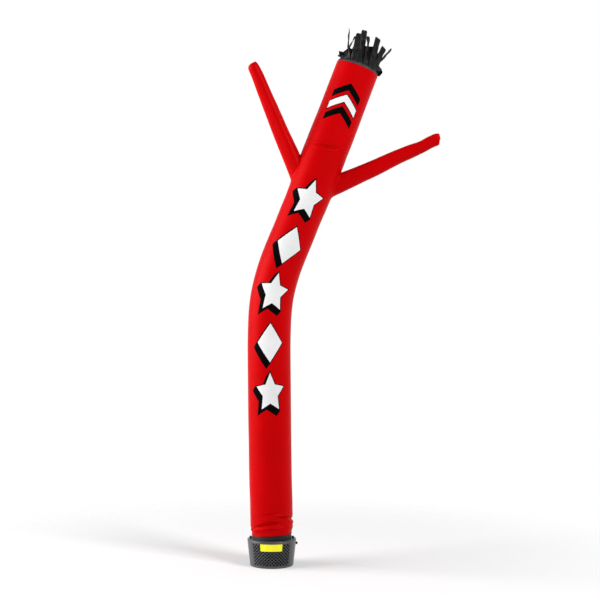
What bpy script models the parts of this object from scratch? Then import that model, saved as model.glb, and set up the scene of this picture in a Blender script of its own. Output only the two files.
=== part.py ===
"""Inflatable air dancer standing on its fan blower, blown up and leaning to one side.

A sewn tube of thin red cloth rises from a round blower, bends once to the right and ends in a head
with a fringe of black cloth strips. Two tapering sleeves are sewn into it under the neck seam.
Metres, +Z up, the viewer at -Y. The origin is the centre of the blower's flat underside.
Round sections start at the right (+X) and run by the back (+Y), the left and the front (-Y).
"""

import math

import bmesh
import bpy
from mathutils import Vector

# Driving sizes ------------------------------------------------------------------------------------
GAP = 0.0003            # between two pieces that touch on the real thing
CLOTH = 0.0012          # thickness of the tube's and the sleeves' cloth
TUBE_SIDES = 32
SLEEVE_SIDES = 20

BLOWER_HEIGHT = 0.286   # floor to the top deck
BASE_RADIUS = 0.232
RIM_RADIUS = 0.262
WALL = 0.006
BLOWER_SIDES = 48
EDGE_ROUND = 0.010      # rounded edge at the foot and at the rim
COLLAR_RADIUS = 0.205   # the outlet ring that the cloth is slipped over
COLLAR_HEIGHT = 0.070
COLLAR_WALL = 0.005

WINDOW_HALF_ANGLE = 50.0    # degrees to each side of the window's middle
WINDOW_LOW = 0.024
WINDOW_HIGH = 0.262
GRILLE_SET_BACK = 0.002
GRILLE_THICKNESS = 0.002
GRILLE_COLUMNS = 13
GRILLE_ROWS = 12
HOLE_SIZE = 0.015
LABEL_COLUMNS = (3, 10)     # grille columns that the label plate covers
LABEL_LOW = 0.186
LABEL_HIGH = 0.262
LABEL_THICKNESS = 0.0015

HEM_HEIGHT = 0.3275         # middle height of the cloth's lower edge
HEM_RISE_RIGHT = 0.0085     # the edge isn't level: it is higher at the right and at the front
HEM_RISE_FRONT = 0.0135
HEM_LEVEL_AT = 0.50         # height where the rings of the tube are level again
HEM_RADIUS = 0.2135
HEM_WIDENS_FROM = 0.345     # between these heights the foot widens to the tube's own radius
HEM_WIDENS_TO = 0.405
FOOT_STEP = 0.017           # between rings in the folded foot
FOOT_TOP = 0.58
BEND_LOW = 2.35             # the tube bends between these heights
BEND_HIGH = 3.90

NECK_HEIGHT = 4.476         # the seam between body and head, on the middle line
CROWN_HEIGHT = 5.324
NECK_DRAW_IN = 0.004        # how far the seam pulls the cloth in
NECK_REACH = 0.05

# The middle line of the tube and its radius: x, y, z, radius
TUBE_LINE = [
    (0.000, 0.000, 0.300, 0.2275),
    (-0.005, 0.000, 0.650, 0.2280),
    (-0.013, -0.003, 0.910, 0.2285),
    (-0.019, -0.008, 1.340, 0.2295),
    (-0.024, -0.014, 1.770, 0.2300),
    (-0.029, -0.022, 2.280, 0.2300),
    (-0.025, -0.026, 2.520, 0.2300),
    (-0.016, -0.028, 2.710, 0.2300),
    (0.005, -0.029, 2.883, 0.2300),
    (0.045, -0.029, 3.055, 0.2300),
    (0.099, -0.027, 3.226, 0.2300),
    (0.166, -0.024, 3.398, 0.2298),
    (0.238, -0.020, 3.570, 0.2295),
    (0.306, -0.015, 3.741, 0.2295),
    (0.378, -0.009, 3.913, 0.2320),
    (0.475, 0.001, 4.165, 0.2365),
    (0.582, 0.012, 4.450, 0.2385),
    (0.707, 0.024, 4.771, 0.2360),
    (0.806, 0.034, 5.029, 0.2345),
    (0.919, 0.045, 5.324, 0.2330),
]

# Each sleeve's middle line and radius, from inside the tube to its open tip: x, y, z, radius
LEFT_SLEEVE = [
    (0.322, 0.000, 4.106, 0.1010),
    (0.252, 0.000, 4.276, 0.0975),
    (0.178, -0.004, 4.450, 0.0930),
    (0.092, -0.010, 4.645, 0.0860),
    (0.014, -0.018, 4.836, 0.0800),
    (-0.066, -0.028, 5.030, 0.0730),
    (-0.144, -0.040, 5.222, 0.0660),
    (-0.190, -0.048, 5.322, 0.0610),
    (-0.213, -0.052, 5.371, 0.0520),
]
RIGHT_SLEEVE = [
    (0.539, 0.004, 4.010, 0.1040),
    (0.786, 0.004, 4.118, 0.0975),
    (0.974, -0.002, 4.199, 0.0905),
    (1.161, -0.012, 4.282, 0.0840),
    (1.330, -0.026, 4.362, 0.0770),
    (1.494, -0.042, 4.432, 0.0720),
    (1.600, -0.054, 4.478, 0.0690),
    (1.700, -0.066, 4.528, 0.0660),
    (1.770, -0.075, 4.555, 0.0640),
    (1.803, -0.080, 4.561, 0.0500),
]

# Folds of the foot: middle height, rise to the right, rise to the front, depth, half width,
# angle of the deepest place, how far round it reaches (degrees)
FOOT_FOLDS = [
    (0.447, 0.045, 0.030, 0.0090, 0.013, -20.0, 400.0),
    (0.414, 0.045, 0.030, -0.0055, 0.016, 0.0, 170.0),
    (0.508, 0.000, 0.035, 0.0060, 0.013, -45.0, 95.0),
    (0.408, 0.010, 0.012, 0.0035, 0.011, -95.0, 45.0),
    (0.520, -0.020, -0.015, 0.0045, 0.014, 120.0, 80.0),
]

# The fringe: two rows of strips round the crown, one strip in each step
HAIR_BAND_LOW = 0.022       # how far each band reaches down inside the crown
HAIR_BAND_HIGH = 0.026      # and above it
HAIR_BAND_DRAW_IN = 0.007   # how far its top edge is gathered in
HAIR_THICKNESS = 0.0015
HAIR_SHARE = 0.88           # of each step taken by the strip, the rest is the slit beside it
HAIR_SEGMENTS = 4
# Each strip: length, lean outward at its root, at its tip, lean along the crown (degrees)
OUTER_STRIPS = [
    (0.062, 48.0, 84.0, 0.0),      # right
    (0.262, 8.0, 40.0, -6.0),
    (0.236, 2.0, 10.0, 4.0),
    (0.275, 4.0, 12.0, -5.0),
    (0.292, 0.0, 4.0, 3.0),
    (0.250, 6.0, 14.0, 6.0),       # back
    (0.284, 0.0, 6.0, -2.0),
    (0.246, 5.0, 16.0, 5.0),
    (0.270, 2.0, 14.0, -4.0),
    (0.232, 6.0, 24.0, 2.0),
    (0.058, 46.0, 82.0, 0.0),      # left
    (0.210, 6.0, 26.0, 4.0),
    (0.226, 1.0, 12.0, 8.0),
    (0.268, 0.0, 4.0, 4.0),
    (0.214, 4.0, 10.0, 6.0),
    (0.340, 0.0, 3.0, -9.0),       # front
    (0.236, 5.0, 13.0, 3.0),
    (0.314, 0.0, 4.0, 2.0),
    (0.256, 4.0, 9.0, -5.0),
    (0.292, 10.0, 46.0, 4.0),
]
INNER_STRIPS = [
    (0.226, -9.0, -10.0, 4.0),     # right
    (0.250, -12.0, -14.0, -5.0),
    (0.238, -10.0, -8.0, 4.0),
    (0.286, -12.0, -12.0, -3.0),
    (0.244, -9.0, -10.0, 5.0),     # back
    (0.270, -12.0, -14.0, -4.0),
    (0.232, -10.0, -9.0, 3.0),
    (0.262, -13.0, -12.0, -5.0),
    (0.318, -14.0, -6.0, -2.0),    # left
    (0.236, -10.0, -12.0, 4.0),
    (0.272, -12.0, -10.0, -3.0),
    (0.248, -9.0, -12.0, 4.0),
    (0.300, -12.0, -14.0, 3.0),    # front
    (0.240, -10.0, -9.0, -4.0),
    (0.278, -12.0, -12.0, 4.0),
    (0.254, -10.0, -12.0, -3.0),
]



def wall_radius(height):
    """Outer radius of the blower's tapered wall, which runs between its two rounded edges."""
    share = (height - EDGE_ROUND) / (BLOWER_HEIGHT - 2 * EDGE_ROUND)
    return BASE_RADIUS + (RIM_RADIUS - BASE_RADIUS) * share


def wall_foot(height):
    """Where a piece stands on the wall's right side, at a height."""
    return (wall_radius(height) + GAP, 0.0, height)


def wall_normal():
    """The way the wall's right side faces: out and, as the wall widens upwards, a little down."""
    return (BLOWER_HEIGHT - 2 * EDGE_ROUND, 0.0, BASE_RADIUS - RIM_RADIUS)


# The knobs: x, y, z of the middle of the foot, direction, radius, height
KNOBS = {
    "deck_knob_left": ((-0.2260, -0.020, BLOWER_HEIGHT + GAP), (0.0, 0.0, 1.0), 0.011, 0.028),
    "deck_knob_right": ((0.2270, -0.020, BLOWER_HEIGHT + GAP), (0.0, 0.0, 1.0), 0.011, 0.028),
    "side_knob": (wall_foot(0.236), wall_normal(), 0.014, 0.018),
}

RED = (0.62, 0.006, 0.009, 1.0)
BLACK_CLOTH = (0.018, 0.018, 0.020, 1.0)
GREY_PLASTIC = (0.075, 0.080, 0.090, 1.0)
BLACK_METAL = (0.020, 0.021, 0.024, 1.0)
YELLOW = (0.85, 0.72, 0.02, 1.0)


def collection(name):
    made = bpy.data.collections.new(name)
    bpy.context.scene.collection.children.link(made)
    return made


def material(name, colour, roughness, metallic=0.0):
    made = bpy.data.materials.new(name)
    made.use_nodes = True
    shader = made.node_tree.nodes["Principled BSDF"]
    shader.inputs["Base Color"].default_value = colour
    shader.inputs["Roughness"].default_value = roughness
    shader.inputs["Metallic"].default_value = metallic
    return made


def add_object(name, mesh, group, finish=None):
    made = bpy.data.objects.new(name, mesh)
    group.objects.link(made)
    if finish is not None:
        mesh.materials.append(finish)
    return made


def as_cutter(made):
    made.hide_render = True
    made.display_type = "WIRE"
    return made


def cut(piece, cutter):
    modifier = piece.modifiers.new("cut_" + cutter.name, "BOOLEAN")
    modifier.operation = "DIFFERENCE"
    modifier.object = cutter


def thicken(piece, thickness):
    """Gives an open surface its thickness on the inner side."""
    modifier = piece.modifiers.new("thickness", "SOLIDIFY")
    modifier.thickness = thickness
    modifier.offset = -1.0


def smooth_step(value):
    value = min(max(value, 0.0), 1.0)
    return value * value * (3.0 - 2.0 * value)


def along(line, position):
    """A point of the smooth curve through the rows of a line; position counts rows from 0."""
    last = len(line) - 1
    index = min(max(int(position), 0), last - 1)
    share = position - index
    before, start = line[max(index - 1, 0)], line[index]
    end, after = line[index + 1], line[min(index + 2, last)]
    blended = []
    for p0, p1, p2, p3 in zip(before, start, end, after):
        curve = 2 * p1 + (p2 - p0) * share
        curve += (2 * p0 - 5 * p1 + 4 * p2 - p3) * share**2
        curve += (3 * p1 - p0 - 3 * p2 + p3) * share**3
        blended.append(0.5 * curve)
    return Vector(blended[:3]), blended[3]


def position_at_height(line, height):
    """Where the rising line passes a height, by halving."""
    low, high = 0.0, len(line) - 1.0
    for _ in range(40):
        middle = 0.5 * (low + high)
        if along(line, middle)[0].z < height:
            low = middle
        else:
            high = middle
    return 0.5 * (low + high)


def section(line, position):
    """Centre, axis directions (right, back, forward along the line) and radius of a cross section."""
    centre, radius = along(line, position)
    step = 0.02
    ahead = along(line, min(position + step, len(line) - 1.0))[0]
    behind = along(line, max(position - step, 0.0))[0]
    tangent = (ahead - behind).normalized()
    right = Vector((0, 1, 0)).cross(tangent).normalized()
    back = tangent.cross(right)
    return centre, right, back, tangent, radius


def round_section(line, position, sides, grow=0.0):
    centre, right, back, _, radius = section(line, position)
    points = []
    for k in range(sides):
        angle = 2 * math.pi * k / sides
        points.append(centre + (radius + grow) * (right * math.cos(angle) + back * math.sin(angle)))
    return points


def loft(name, rings, group, finish=None, capped=False):
    """A skin through rings of equal point counts, facing outwards."""
    shape = bmesh.new()
    rows = [[shape.verts.new(point) for point in ring] for ring in rings]
    count = len(rings[0])
    for low, high in zip(rows, rows[1:]):
        for k in range(count):
            follows = (k + 1) % count
            shape.faces.new((low[k], low[follows], high[follows], high[k]))
    if capped:
        shape.faces.new(rows[0][::-1])
        shape.faces.new(rows[-1])
    for face in shape.faces:
        face.smooth = True
    mesh = bpy.data.meshes.new(name)
    shape.to_mesh(mesh)
    shape.free()
    return add_object(name, mesh, group, finish)


def hem_offset(angle):
    """How much higher than its middle the cloth's lower edge is, at an angle."""
    return HEM_RISE_RIGHT * math.cos(angle) - HEM_RISE_FRONT * math.sin(angle)


def fold_depth(angle, height):
    """How far the foot's folds draw the cloth in, at a place of the tube."""
    depth = 0.0
    for middle, right, front, deep, half_width, deepest, reach in FOOT_FOLDS:
        line = middle + right * math.cos(angle) - front * math.sin(angle)
        turned = math.remainder(angle - math.radians(deepest), 2 * math.pi)
        strength = smooth_step(1.0 - abs(turned) / math.radians(reach))
        depth += deep * strength * math.exp(-(((height - line) / half_width) ** 2))
    return depth


def foot_section(height):
    """A ring of the folded foot: tilted like the hem at the bottom, level at the top."""
    centre, right, back, _, radius = section(TUBE_LINE, position_at_height(TUBE_LINE, height))
    tilt = 1.0 - smooth_step((height - HEM_HEIGHT) / (HEM_LEVEL_AT - HEM_HEIGHT))
    points = []
    for k in range(TUBE_SIDES):
        angle = 2 * math.pi * k / TUBE_SIDES
        rise = tilt * hem_offset(angle)
        widened = smooth_step((height - HEM_WIDENS_FROM) / (HEM_WIDENS_TO - HEM_WIDENS_FROM))
        width = HEM_RADIUS + (radius - HEM_RADIUS) * widened
        width -= fold_depth(angle, height + rise)
        points.append(
            centre + width * (right * math.cos(angle) + back * math.sin(angle)) + Vector((0, 0, rise))
        )
    return points


def tube_section(height, grow=0.0):
    """A ring of the tube above its foot, drawn in a little at the neck seam."""
    draw = NECK_DRAW_IN * math.exp(-(((height - NECK_HEIGHT) / NECK_REACH) ** 2))
    place = position_at_height(TUBE_LINE, height)
    return round_section(TUBE_LINE, place, TUBE_SIDES, grow - draw)


def even_heights(low, high, count):
    return [low + (high - low) * k / count for k in range(count)]


def body_heights():
    """Ring heights above the foot: few on the straight part, more through the bend and the shoulder."""
    straight = even_heights(FOOT_TOP, BEND_LOW, 4)
    bend = even_heights(BEND_LOW, BEND_HIGH, 10)
    shoulder = even_heights(BEND_HIGH, NECK_HEIGHT - NECK_REACH, 3)
    seam = [NECK_HEIGHT - NECK_REACH, NECK_HEIGHT - 0.5 * GAP]
    return straight + bend + shoulder + seam


def head_heights():
    """Ring heights from the neck seam to the crown's edge."""
    plain = even_heights(NECK_HEIGHT + NECK_REACH, CROWN_HEIGHT, 5)
    return [NECK_HEIGHT + 0.5 * GAP] + plain + [CROWN_HEIGHT]


def sleeve(name, line, group, cutters, finish):
    """A tapering sleeve, trimmed to the tube's outside, and the bore that its armhole is cut with."""
    places = [0.0] + [0.5 + k for k in range(len(line) - 1)] + [len(line) - 1.3, len(line) - 1.0]
    places = sorted(set(places))
    piece = loft(name, [round_section(line, p, SLEEVE_SIDES) for p in places], group, finish)
    thicken(piece, CLOTH)
    bore_places = [0.0, 0.5, 1.0, 1.5]
    bore_rings = [round_section(line, p, SLEEVE_SIDES, -CLOTH) for p in bore_places]
    bore = as_cutter(loft(name + "_bore", bore_rings, cutters, capped=True))
    return piece, bore


def cloth_body(group, cutters, red):
    """The body tube with its two armholes, the head tube above the neck seam, and the sleeves."""
    foot = even_heights(HEM_HEIGHT, FOOT_TOP, round((FOOT_TOP - HEM_HEIGHT) / FOOT_STEP))
    rings = [foot_section(h) for h in foot] + [tube_section(h) for h in body_heights()]
    body = loft("body_tube", rings, group, red)
    thicken(body, CLOTH)
    head = loft("head_tube", [tube_section(h) for h in head_heights()], group, red)
    thicken(head, CLOTH)

    core_heights = [h for h in body_heights() if h > BEND_LOW] + [NECK_HEIGHT + 0.1, NECK_HEIGHT + 0.3]
    core_rings = [tube_section(h, GAP) for h in core_heights]
    core = as_cutter(loft("tube_core", core_rings, cutters, capped=True))
    for name, line in (("left_sleeve", LEFT_SLEEVE), ("right_sleeve", RIGHT_SLEEVE)):
        piece, bore = sleeve(name, line, group, cutters, red)
        cut(piece, core)
        cut(body, bore)


def strip_edges(root, sideways, outward, upward, row, width):
    """The pairs of edge points of one fringe strip, from its root to its tip."""
    length, lean_root, lean_tip, lean_side = row
    side_turn = math.radians(lean_side)
    along_crown = sideways * math.cos(side_turn) - upward * math.sin(side_turn)
    rise = upward * math.cos(side_turn) + sideways * math.sin(side_turn)
    pairs = []
    point = root.copy()
    step = length / HAIR_SEGMENTS
    for k in range(HAIR_SEGMENTS):
        lean = math.radians(lean_root + (lean_tip - lean_root) * (k + 0.5) / HAIR_SEGMENTS)
        point = point + step * (rise * math.cos(lean) + outward * math.sin(lean))
        pairs.append((point - along_crown * width / 2, point + along_crown * width / 2))
    return pairs


def fringe(name, outer_radius, strips, group, finish):
    """A black band sewn inside the head's edge, with its strips cut from the same cloth."""
    centre, right, back, upward, _ = section(TUBE_LINE, len(TUBE_LINE) - 1.0)
    shape = bmesh.new()
    rows = []
    step = 2 * math.pi / len(strips)
    half = 0.5 * HAIR_SHARE * step
    for rise, draw in ((-HAIR_BAND_LOW, 0.0), (0.0, 0.0), (HAIR_BAND_HIGH, HAIR_BAND_DRAW_IN)):
        row = []
        for k in range(len(strips)):
            for edge in (-half, half):
                angle = k * step + edge
                outward = right * math.cos(angle) + back * math.sin(angle)
                row.append(shape.verts.new(centre + upward * rise + outward * (outer_radius - draw)))
        rows.append(row)
    count = 2 * len(strips)
    for low, high in zip(rows, rows[1:]):
        for k in range(count):
            follows = (k + 1) % count
            shape.faces.new((low[k], low[follows], high[follows], high[k]))
    for k, row in enumerate(strips):
        first, second = rows[-1][2 * k], rows[-1][2 * k + 1]
        sideways = (second.co - first.co).normalized()
        outward = sideways.cross(upward)
        root = 0.5 * (first.co + second.co)
        width = (second.co - first.co).length
        for near, far in strip_edges(root, sideways, outward, upward, row, width):
            next_first, next_second = shape.verts.new(near), shape.verts.new(far)
            shape.faces.new((first, second, next_second, next_first))
            first, second = next_first, next_second
    mesh = bpy.data.meshes.new(name)
    shape.to_mesh(mesh)
    shape.free()
    thicken(add_object(name, mesh, group, finish), HAIR_THICKNESS)


def fringes(group, finish):
    """The outer row stands up or out, the inner row leans in behind it."""
    crown_radius = TUBE_LINE[-1][3]
    outer = (crown_radius - CLOTH) * math.cos(math.pi / TUBE_SIDES) - GAP
    chord = math.cos(0.5 * HAIR_SHARE * 2 * math.pi / len(OUTER_STRIPS))
    inner = (outer - HAIR_THICKNESS) * chord - GAP
    fringe("hair_outer", outer, OUTER_STRIPS, group, finish)
    fringe("hair_inner", inner, INNER_STRIPS, group, finish)


def rounded(corner_x, corner_z, from_angle, steps=3):
    """Points of a quarter circle of EDGE_ROUND about a corner of the profile."""
    points = []
    for k in range(steps + 1):
        angle = math.radians(from_angle - 90.0 * k / steps)
        points.append((corner_x + EDGE_ROUND * math.cos(angle), corner_z + EDGE_ROUND * math.sin(angle)))
    return points


def blower_profile():
    """The housing's section from the collar's top, down its outer side and back inside: x, z."""
    collar_top = BLOWER_HEIGHT + COLLAR_HEIGHT
    inner_collar = COLLAR_RADIUS - COLLAR_WALL
    outside = [(inner_collar, collar_top), (COLLAR_RADIUS, collar_top), (COLLAR_RADIUS, BLOWER_HEIGHT)]
    outside += rounded(RIM_RADIUS - EDGE_ROUND, BLOWER_HEIGHT - EDGE_ROUND, 90.0)
    outside += rounded(BASE_RADIUS - EDGE_ROUND, EDGE_ROUND, 0.0)
    inside = [
        (0.0, 0.0),
        (0.0, WALL),
        (wall_radius(WALL) - WALL, WALL),
        (wall_radius(BLOWER_HEIGHT - WALL) - WALL, BLOWER_HEIGHT - WALL),
        (inner_collar, BLOWER_HEIGHT - WALL),
    ]
    return outside + inside


def wedge(name, middle_angle, group):
    """A block through the blower's wall, as wide as one window."""
    rings = []
    steps = 12
    for k in range(steps + 1):
        angle = math.radians(middle_angle - WINDOW_HALF_ANGLE + 2 * WINDOW_HALF_ANGLE * k / steps)
        outward = Vector((math.cos(angle), math.sin(angle), 0.0))
        near, far = outward * (BASE_RADIUS - 4 * WALL), outward * (RIM_RADIUS + 4 * WALL)
        low, high = Vector((0, 0, WINDOW_LOW)), Vector((0, 0, WINDOW_HIGH))
        rings.append([near + low, near + high, far + high, far + low])
    return as_cutter(loft(name, rings, group, capped=True))


def housing(group, cutters, finish):
    """The turned blower housing with its collar, and a window at the front and the back."""
    shape = bmesh.new()
    points = [shape.verts.new((x, 0.0, z)) for x, z in blower_profile()]
    for start, end in zip(points, points[1:] + points[:1]):
        if start.co.x > 0.0 or end.co.x > 0.0:
            shape.edges.new((start, end))
    mesh = bpy.data.meshes.new("blower_housing")
    shape.to_mesh(mesh)
    shape.free()
    piece = add_object("blower_housing", mesh, group, finish)
    screw = piece.modifiers.new("turned", "SCREW")
    screw.axis = "Z"
    screw.steps = BLOWER_SIDES
    screw.render_steps = BLOWER_SIDES
    screw.use_merge_vertices = True
    screw.merge_threshold = 0.00001
    for name, middle_angle in (("front_window", -90.0), ("back_window", 90.0)):
        cut(piece, wedge(name, middle_angle, cutters))


def on_wall(middle_angle, turn, height, set_back):
    """A point of the blower's wall, set back from its outer face."""
    angle = math.radians(middle_angle) + turn
    radius = wall_radius(height) - set_back
    return Vector((radius * math.cos(angle), radius * math.sin(angle), height))


def on_facet(middle_angle, turns, place, height, set_back):
    """A point of the flat facets between the grille's column edges; place counts columns from 0."""
    column = min(int(place), GRILLE_COLUMNS - 1)
    left = on_wall(middle_angle, turns[column], height, set_back)
    right = on_wall(middle_angle, turns[column + 1], height, set_back)
    return left.lerp(right, place - column)


def grille_turns():
    """The turn of each grille column's edge from the window's middle, clear of the window's sides."""
    reach = math.radians(WINDOW_HALF_ANGLE) - GAP / BASE_RADIUS
    return [reach * (2.0 * k / GRILLE_COLUMNS - 1.0) for k in range(GRILLE_COLUMNS + 1)]


def grille(name, middle_angle, group, finish):
    """A curved plate with staggered holes that fills one window."""
    turns = grille_turns()
    low, high = WINDOW_LOW + GAP, WINDOW_HIGH - GAP
    cell_width = (turns[1] - turns[0]) * BASE_RADIUS
    cell_height = (high - low) / GRILLE_ROWS
    shape = bmesh.new()
    bmesh.ops.create_grid(shape, x_segments=GRILLE_COLUMNS, y_segments=GRILLE_ROWS, size=0.5)
    holed = []
    for face in shape.faces:
        middle = face.calc_center_median()
        column = int((middle.x + 0.5) * GRILLE_COLUMNS)
        row = int((middle.y + 0.5) * GRILLE_ROWS)
        inside = 0 < column < GRILLE_COLUMNS - 1 and 0 < row < GRILLE_ROWS - 1
        if inside and (column + row) % 2 == 0:
            holed.append(face)
    hole_width = HOLE_SIZE / cell_width / GRILLE_COLUMNS
    hole_height = HOLE_SIZE / cell_height / GRILLE_ROWS
    bmesh.ops.inset_individual(shape, faces=holed, thickness=0.01, use_even_offset=False)
    for face in holed:
        middle = face.calc_center_median()
        for vert in face.verts:
            vert.co.x = middle.x + math.copysign(0.5 * hole_width, vert.co.x - middle.x)
            vert.co.y = middle.y + math.copysign(0.5 * hole_height, vert.co.y - middle.y)
    bmesh.ops.delete(shape, geom=holed, context="FACES")
    for vert in shape.verts:
        place = max(0.0, (vert.co.x + 0.5) * GRILLE_COLUMNS)
        height = low + (vert.co.y + 0.5) * (high - low)
        vert.co = on_facet(middle_angle, turns, place, height, GRILLE_SET_BACK)
    mesh = bpy.data.meshes.new(name)
    shape.to_mesh(mesh)
    shape.free()
    thicken(add_object(name, mesh, group, finish), GRILLE_THICKNESS)


def label_plate(group, finish):
    """A bare plate lying on the front grille, on the same facets."""
    turns = grille_turns()[LABEL_COLUMNS[0] : LABEL_COLUMNS[1] + 1]
    set_back = GRILLE_SET_BACK - GAP - LABEL_THICKNESS
    shape = bmesh.new()
    rows = []
    for height in (LABEL_LOW, LABEL_HIGH - 2 * GAP):
        rows.append([shape.verts.new(on_wall(-90.0, turn, height, set_back)) for turn in turns])
    for k in range(len(turns) - 1):
        shape.faces.new((rows[0][k], rows[0][k + 1], rows[1][k + 1], rows[1][k]))
    mesh = bpy.data.meshes.new("label_plate")
    shape.to_mesh(mesh)
    shape.free()
    thicken(add_object("label_plate", mesh, group, finish), LABEL_THICKNESS)


def strap(group, finish):
    """The black strap under the hem that closes the foot round the collar; its top follows the hem."""
    outer = HEM_RADIUS - 0.5 * CLOTH
    inner = (COLLAR_RADIUS + GAP) / math.cos(math.pi / TUBE_SIDES)
    low, high = [], []
    for k, hem in enumerate(foot_section(HEM_HEIGHT)):
        angle = 2 * math.pi * k / TUBE_SIDES
        outward = Vector((outer * math.cos(angle), outer * math.sin(angle), 0.0))
        low.append(outward + Vector((0, 0, BLOWER_HEIGHT + GAP)))
        high.append(outward + Vector((0, 0, hem.z - GAP)))
    thicken(loft("base_strap", [low, high], group, finish), outer - inner)


def knob(name, row, group, finish):
    foot, direction, radius, height = row
    axis = Vector(direction).normalized()
    bpy.ops.mesh.primitive_cylinder_add(
        vertices=16, radius=radius, depth=height, location=Vector(foot) + axis * height / 2
    )
    piece = bpy.context.object
    piece.name = name
    piece.rotation_euler = axis.to_track_quat("Z", "Y").to_euler()
    piece.data.materials.append(finish)
    for owner in list(piece.users_collection):
        owner.objects.unlink(piece)
    group.objects.link(piece)
    bevel = piece.modifiers.new("rounded", "BEVEL")
    bevel.width = 0.003
    bevel.segments = 2


def main():
    for old in list(bpy.data.objects):
        bpy.data.objects.remove(old, do_unlink=True)
    parts = collection("air_dancer")
    cutters = collection("cutters")
    red = material("red_cloth", RED, 0.62)
    black = material("black_cloth", BLACK_CLOTH, 0.75)
    plastic = material("housing_plastic", GREY_PLASTIC, 0.50)
    metal = material("grille_metal", BLACK_METAL, 0.45, 0.3)
    yellow = material("plate_yellow", YELLOW, 0.40)

    cloth_body(parts, cutters, red)
    fringes(parts, black)
    strap(parts, black)
    housing(parts, cutters, plastic)
    grille("front_grille", -90.0, parts, metal)
    grille("back_grille", 90.0, parts, metal)
    label_plate(parts, yellow)
    for name, row in KNOBS.items():
        knob(name, row, parts, plastic)


main()
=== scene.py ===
"""Looks of the inflatable air dancer on its fan blower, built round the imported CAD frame.

The red cloth is one fine sheet for each cut piece (body, head, two sleeves), laid out flat in the
cloth's own sizes, with the printed shapes and the armholes as edges of that flat layout, and then
rolled onto the tube. Metres, +Z up, the viewer at -Y, as in the CAD source. Round sections start
at the right (+X) and run by the back (+Y), the left and the front (-Y).
"""

import math

import bmesh
import bpy
import numpy as np
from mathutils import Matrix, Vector, noise
from mathutils.geometry import delaunay_2d_cdt

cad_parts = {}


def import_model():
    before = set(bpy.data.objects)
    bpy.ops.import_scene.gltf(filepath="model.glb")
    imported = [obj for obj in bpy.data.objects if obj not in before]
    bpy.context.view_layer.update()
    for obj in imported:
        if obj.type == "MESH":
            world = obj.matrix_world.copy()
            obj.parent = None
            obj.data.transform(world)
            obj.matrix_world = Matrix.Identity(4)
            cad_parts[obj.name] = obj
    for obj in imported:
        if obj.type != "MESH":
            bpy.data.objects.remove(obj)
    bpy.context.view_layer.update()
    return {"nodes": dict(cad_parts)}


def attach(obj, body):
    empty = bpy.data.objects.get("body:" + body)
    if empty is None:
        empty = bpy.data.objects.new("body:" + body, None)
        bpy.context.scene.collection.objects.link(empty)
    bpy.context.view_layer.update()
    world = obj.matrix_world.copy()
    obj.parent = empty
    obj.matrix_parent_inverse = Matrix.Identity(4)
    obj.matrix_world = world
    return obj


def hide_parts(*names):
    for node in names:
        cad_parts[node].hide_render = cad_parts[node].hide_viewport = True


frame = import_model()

# Sizes repeated from the CAD source ---------------------------------------------------------------
GAP = 0.0003
CLOTH = 0.0012
TUBE_SIDES = 32
BLOWER_HEIGHT = 0.286
BASE_RADIUS = 0.232
RIM_RADIUS = 0.262
WALL = 0.006
EDGE_ROUND = 0.010
COLLAR_RADIUS = 0.205
COLLAR_HEIGHT = 0.070
WINDOW_HALF_ANGLE = 50.0
WINDOW_LOW = 0.024
WINDOW_HIGH = 0.262
GRILLE_SET_BACK = 0.002
GRILLE_THICKNESS = 0.002
HEM_HEIGHT = 0.3275
HEM_RISE_RIGHT = 0.0085
HEM_RISE_FRONT = 0.0135
HEM_LEVEL_AT = 0.50
HEM_RADIUS = 0.2135
HEM_WIDENS_FROM = 0.345
HEM_WIDENS_TO = 0.405
NECK_HEIGHT = 4.476
CROWN_HEIGHT = 5.324
NECK_DRAW_IN = 0.004
NECK_REACH = 0.05
HAIR_BAND_LOW = 0.022
HAIR_BAND_HIGH = 0.026
HAIR_BAND_DRAW_IN = 0.007
HAIR_THICKNESS = 0.0015
HAIR_SHARE = 0.88
HAIR_LEVELS = [    # rows of the gathered band: height from the crown, how far it is drawn in
    (-HAIR_BAND_LOW, 0.0),
    (-0.006, 0.0),
    (0.003, 0.0),
    (0.010, 0.001),
    (0.018, 0.003),
    (HAIR_BAND_HIGH, HAIR_BAND_DRAW_IN),
]

# The middle line of the tube and its radius: x, y, z, radius
TUBE_LINE = [
    (0.000, 0.000, 0.300, 0.2275),
    (-0.005, 0.000, 0.650, 0.2280),
    (-0.013, -0.003, 0.910, 0.2285),
    (-0.019, -0.008, 1.340, 0.2295),
    (-0.024, -0.014, 1.770, 0.2300),
    (-0.029, -0.022, 2.280, 0.2300),
    (-0.025, -0.026, 2.520, 0.2300),
    (-0.016, -0.028, 2.710, 0.2300),
    (0.005, -0.029, 2.883, 0.2300),
    (0.045, -0.029, 3.055, 0.2300),
    (0.099, -0.027, 3.226, 0.2300),
    (0.166, -0.024, 3.398, 0.2298),
    (0.238, -0.020, 3.570, 0.2295),
    (0.306, -0.015, 3.741, 0.2295),
    (0.378, -0.009, 3.913, 0.2320),
    (0.475, 0.001, 4.165, 0.2365),
    (0.582, 0.012, 4.450, 0.2385),
    (0.707, 0.024, 4.771, 0.2360),
    (0.806, 0.034, 5.029, 0.2345),
    (0.919, 0.045, 5.324, 0.2330),
]

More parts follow.
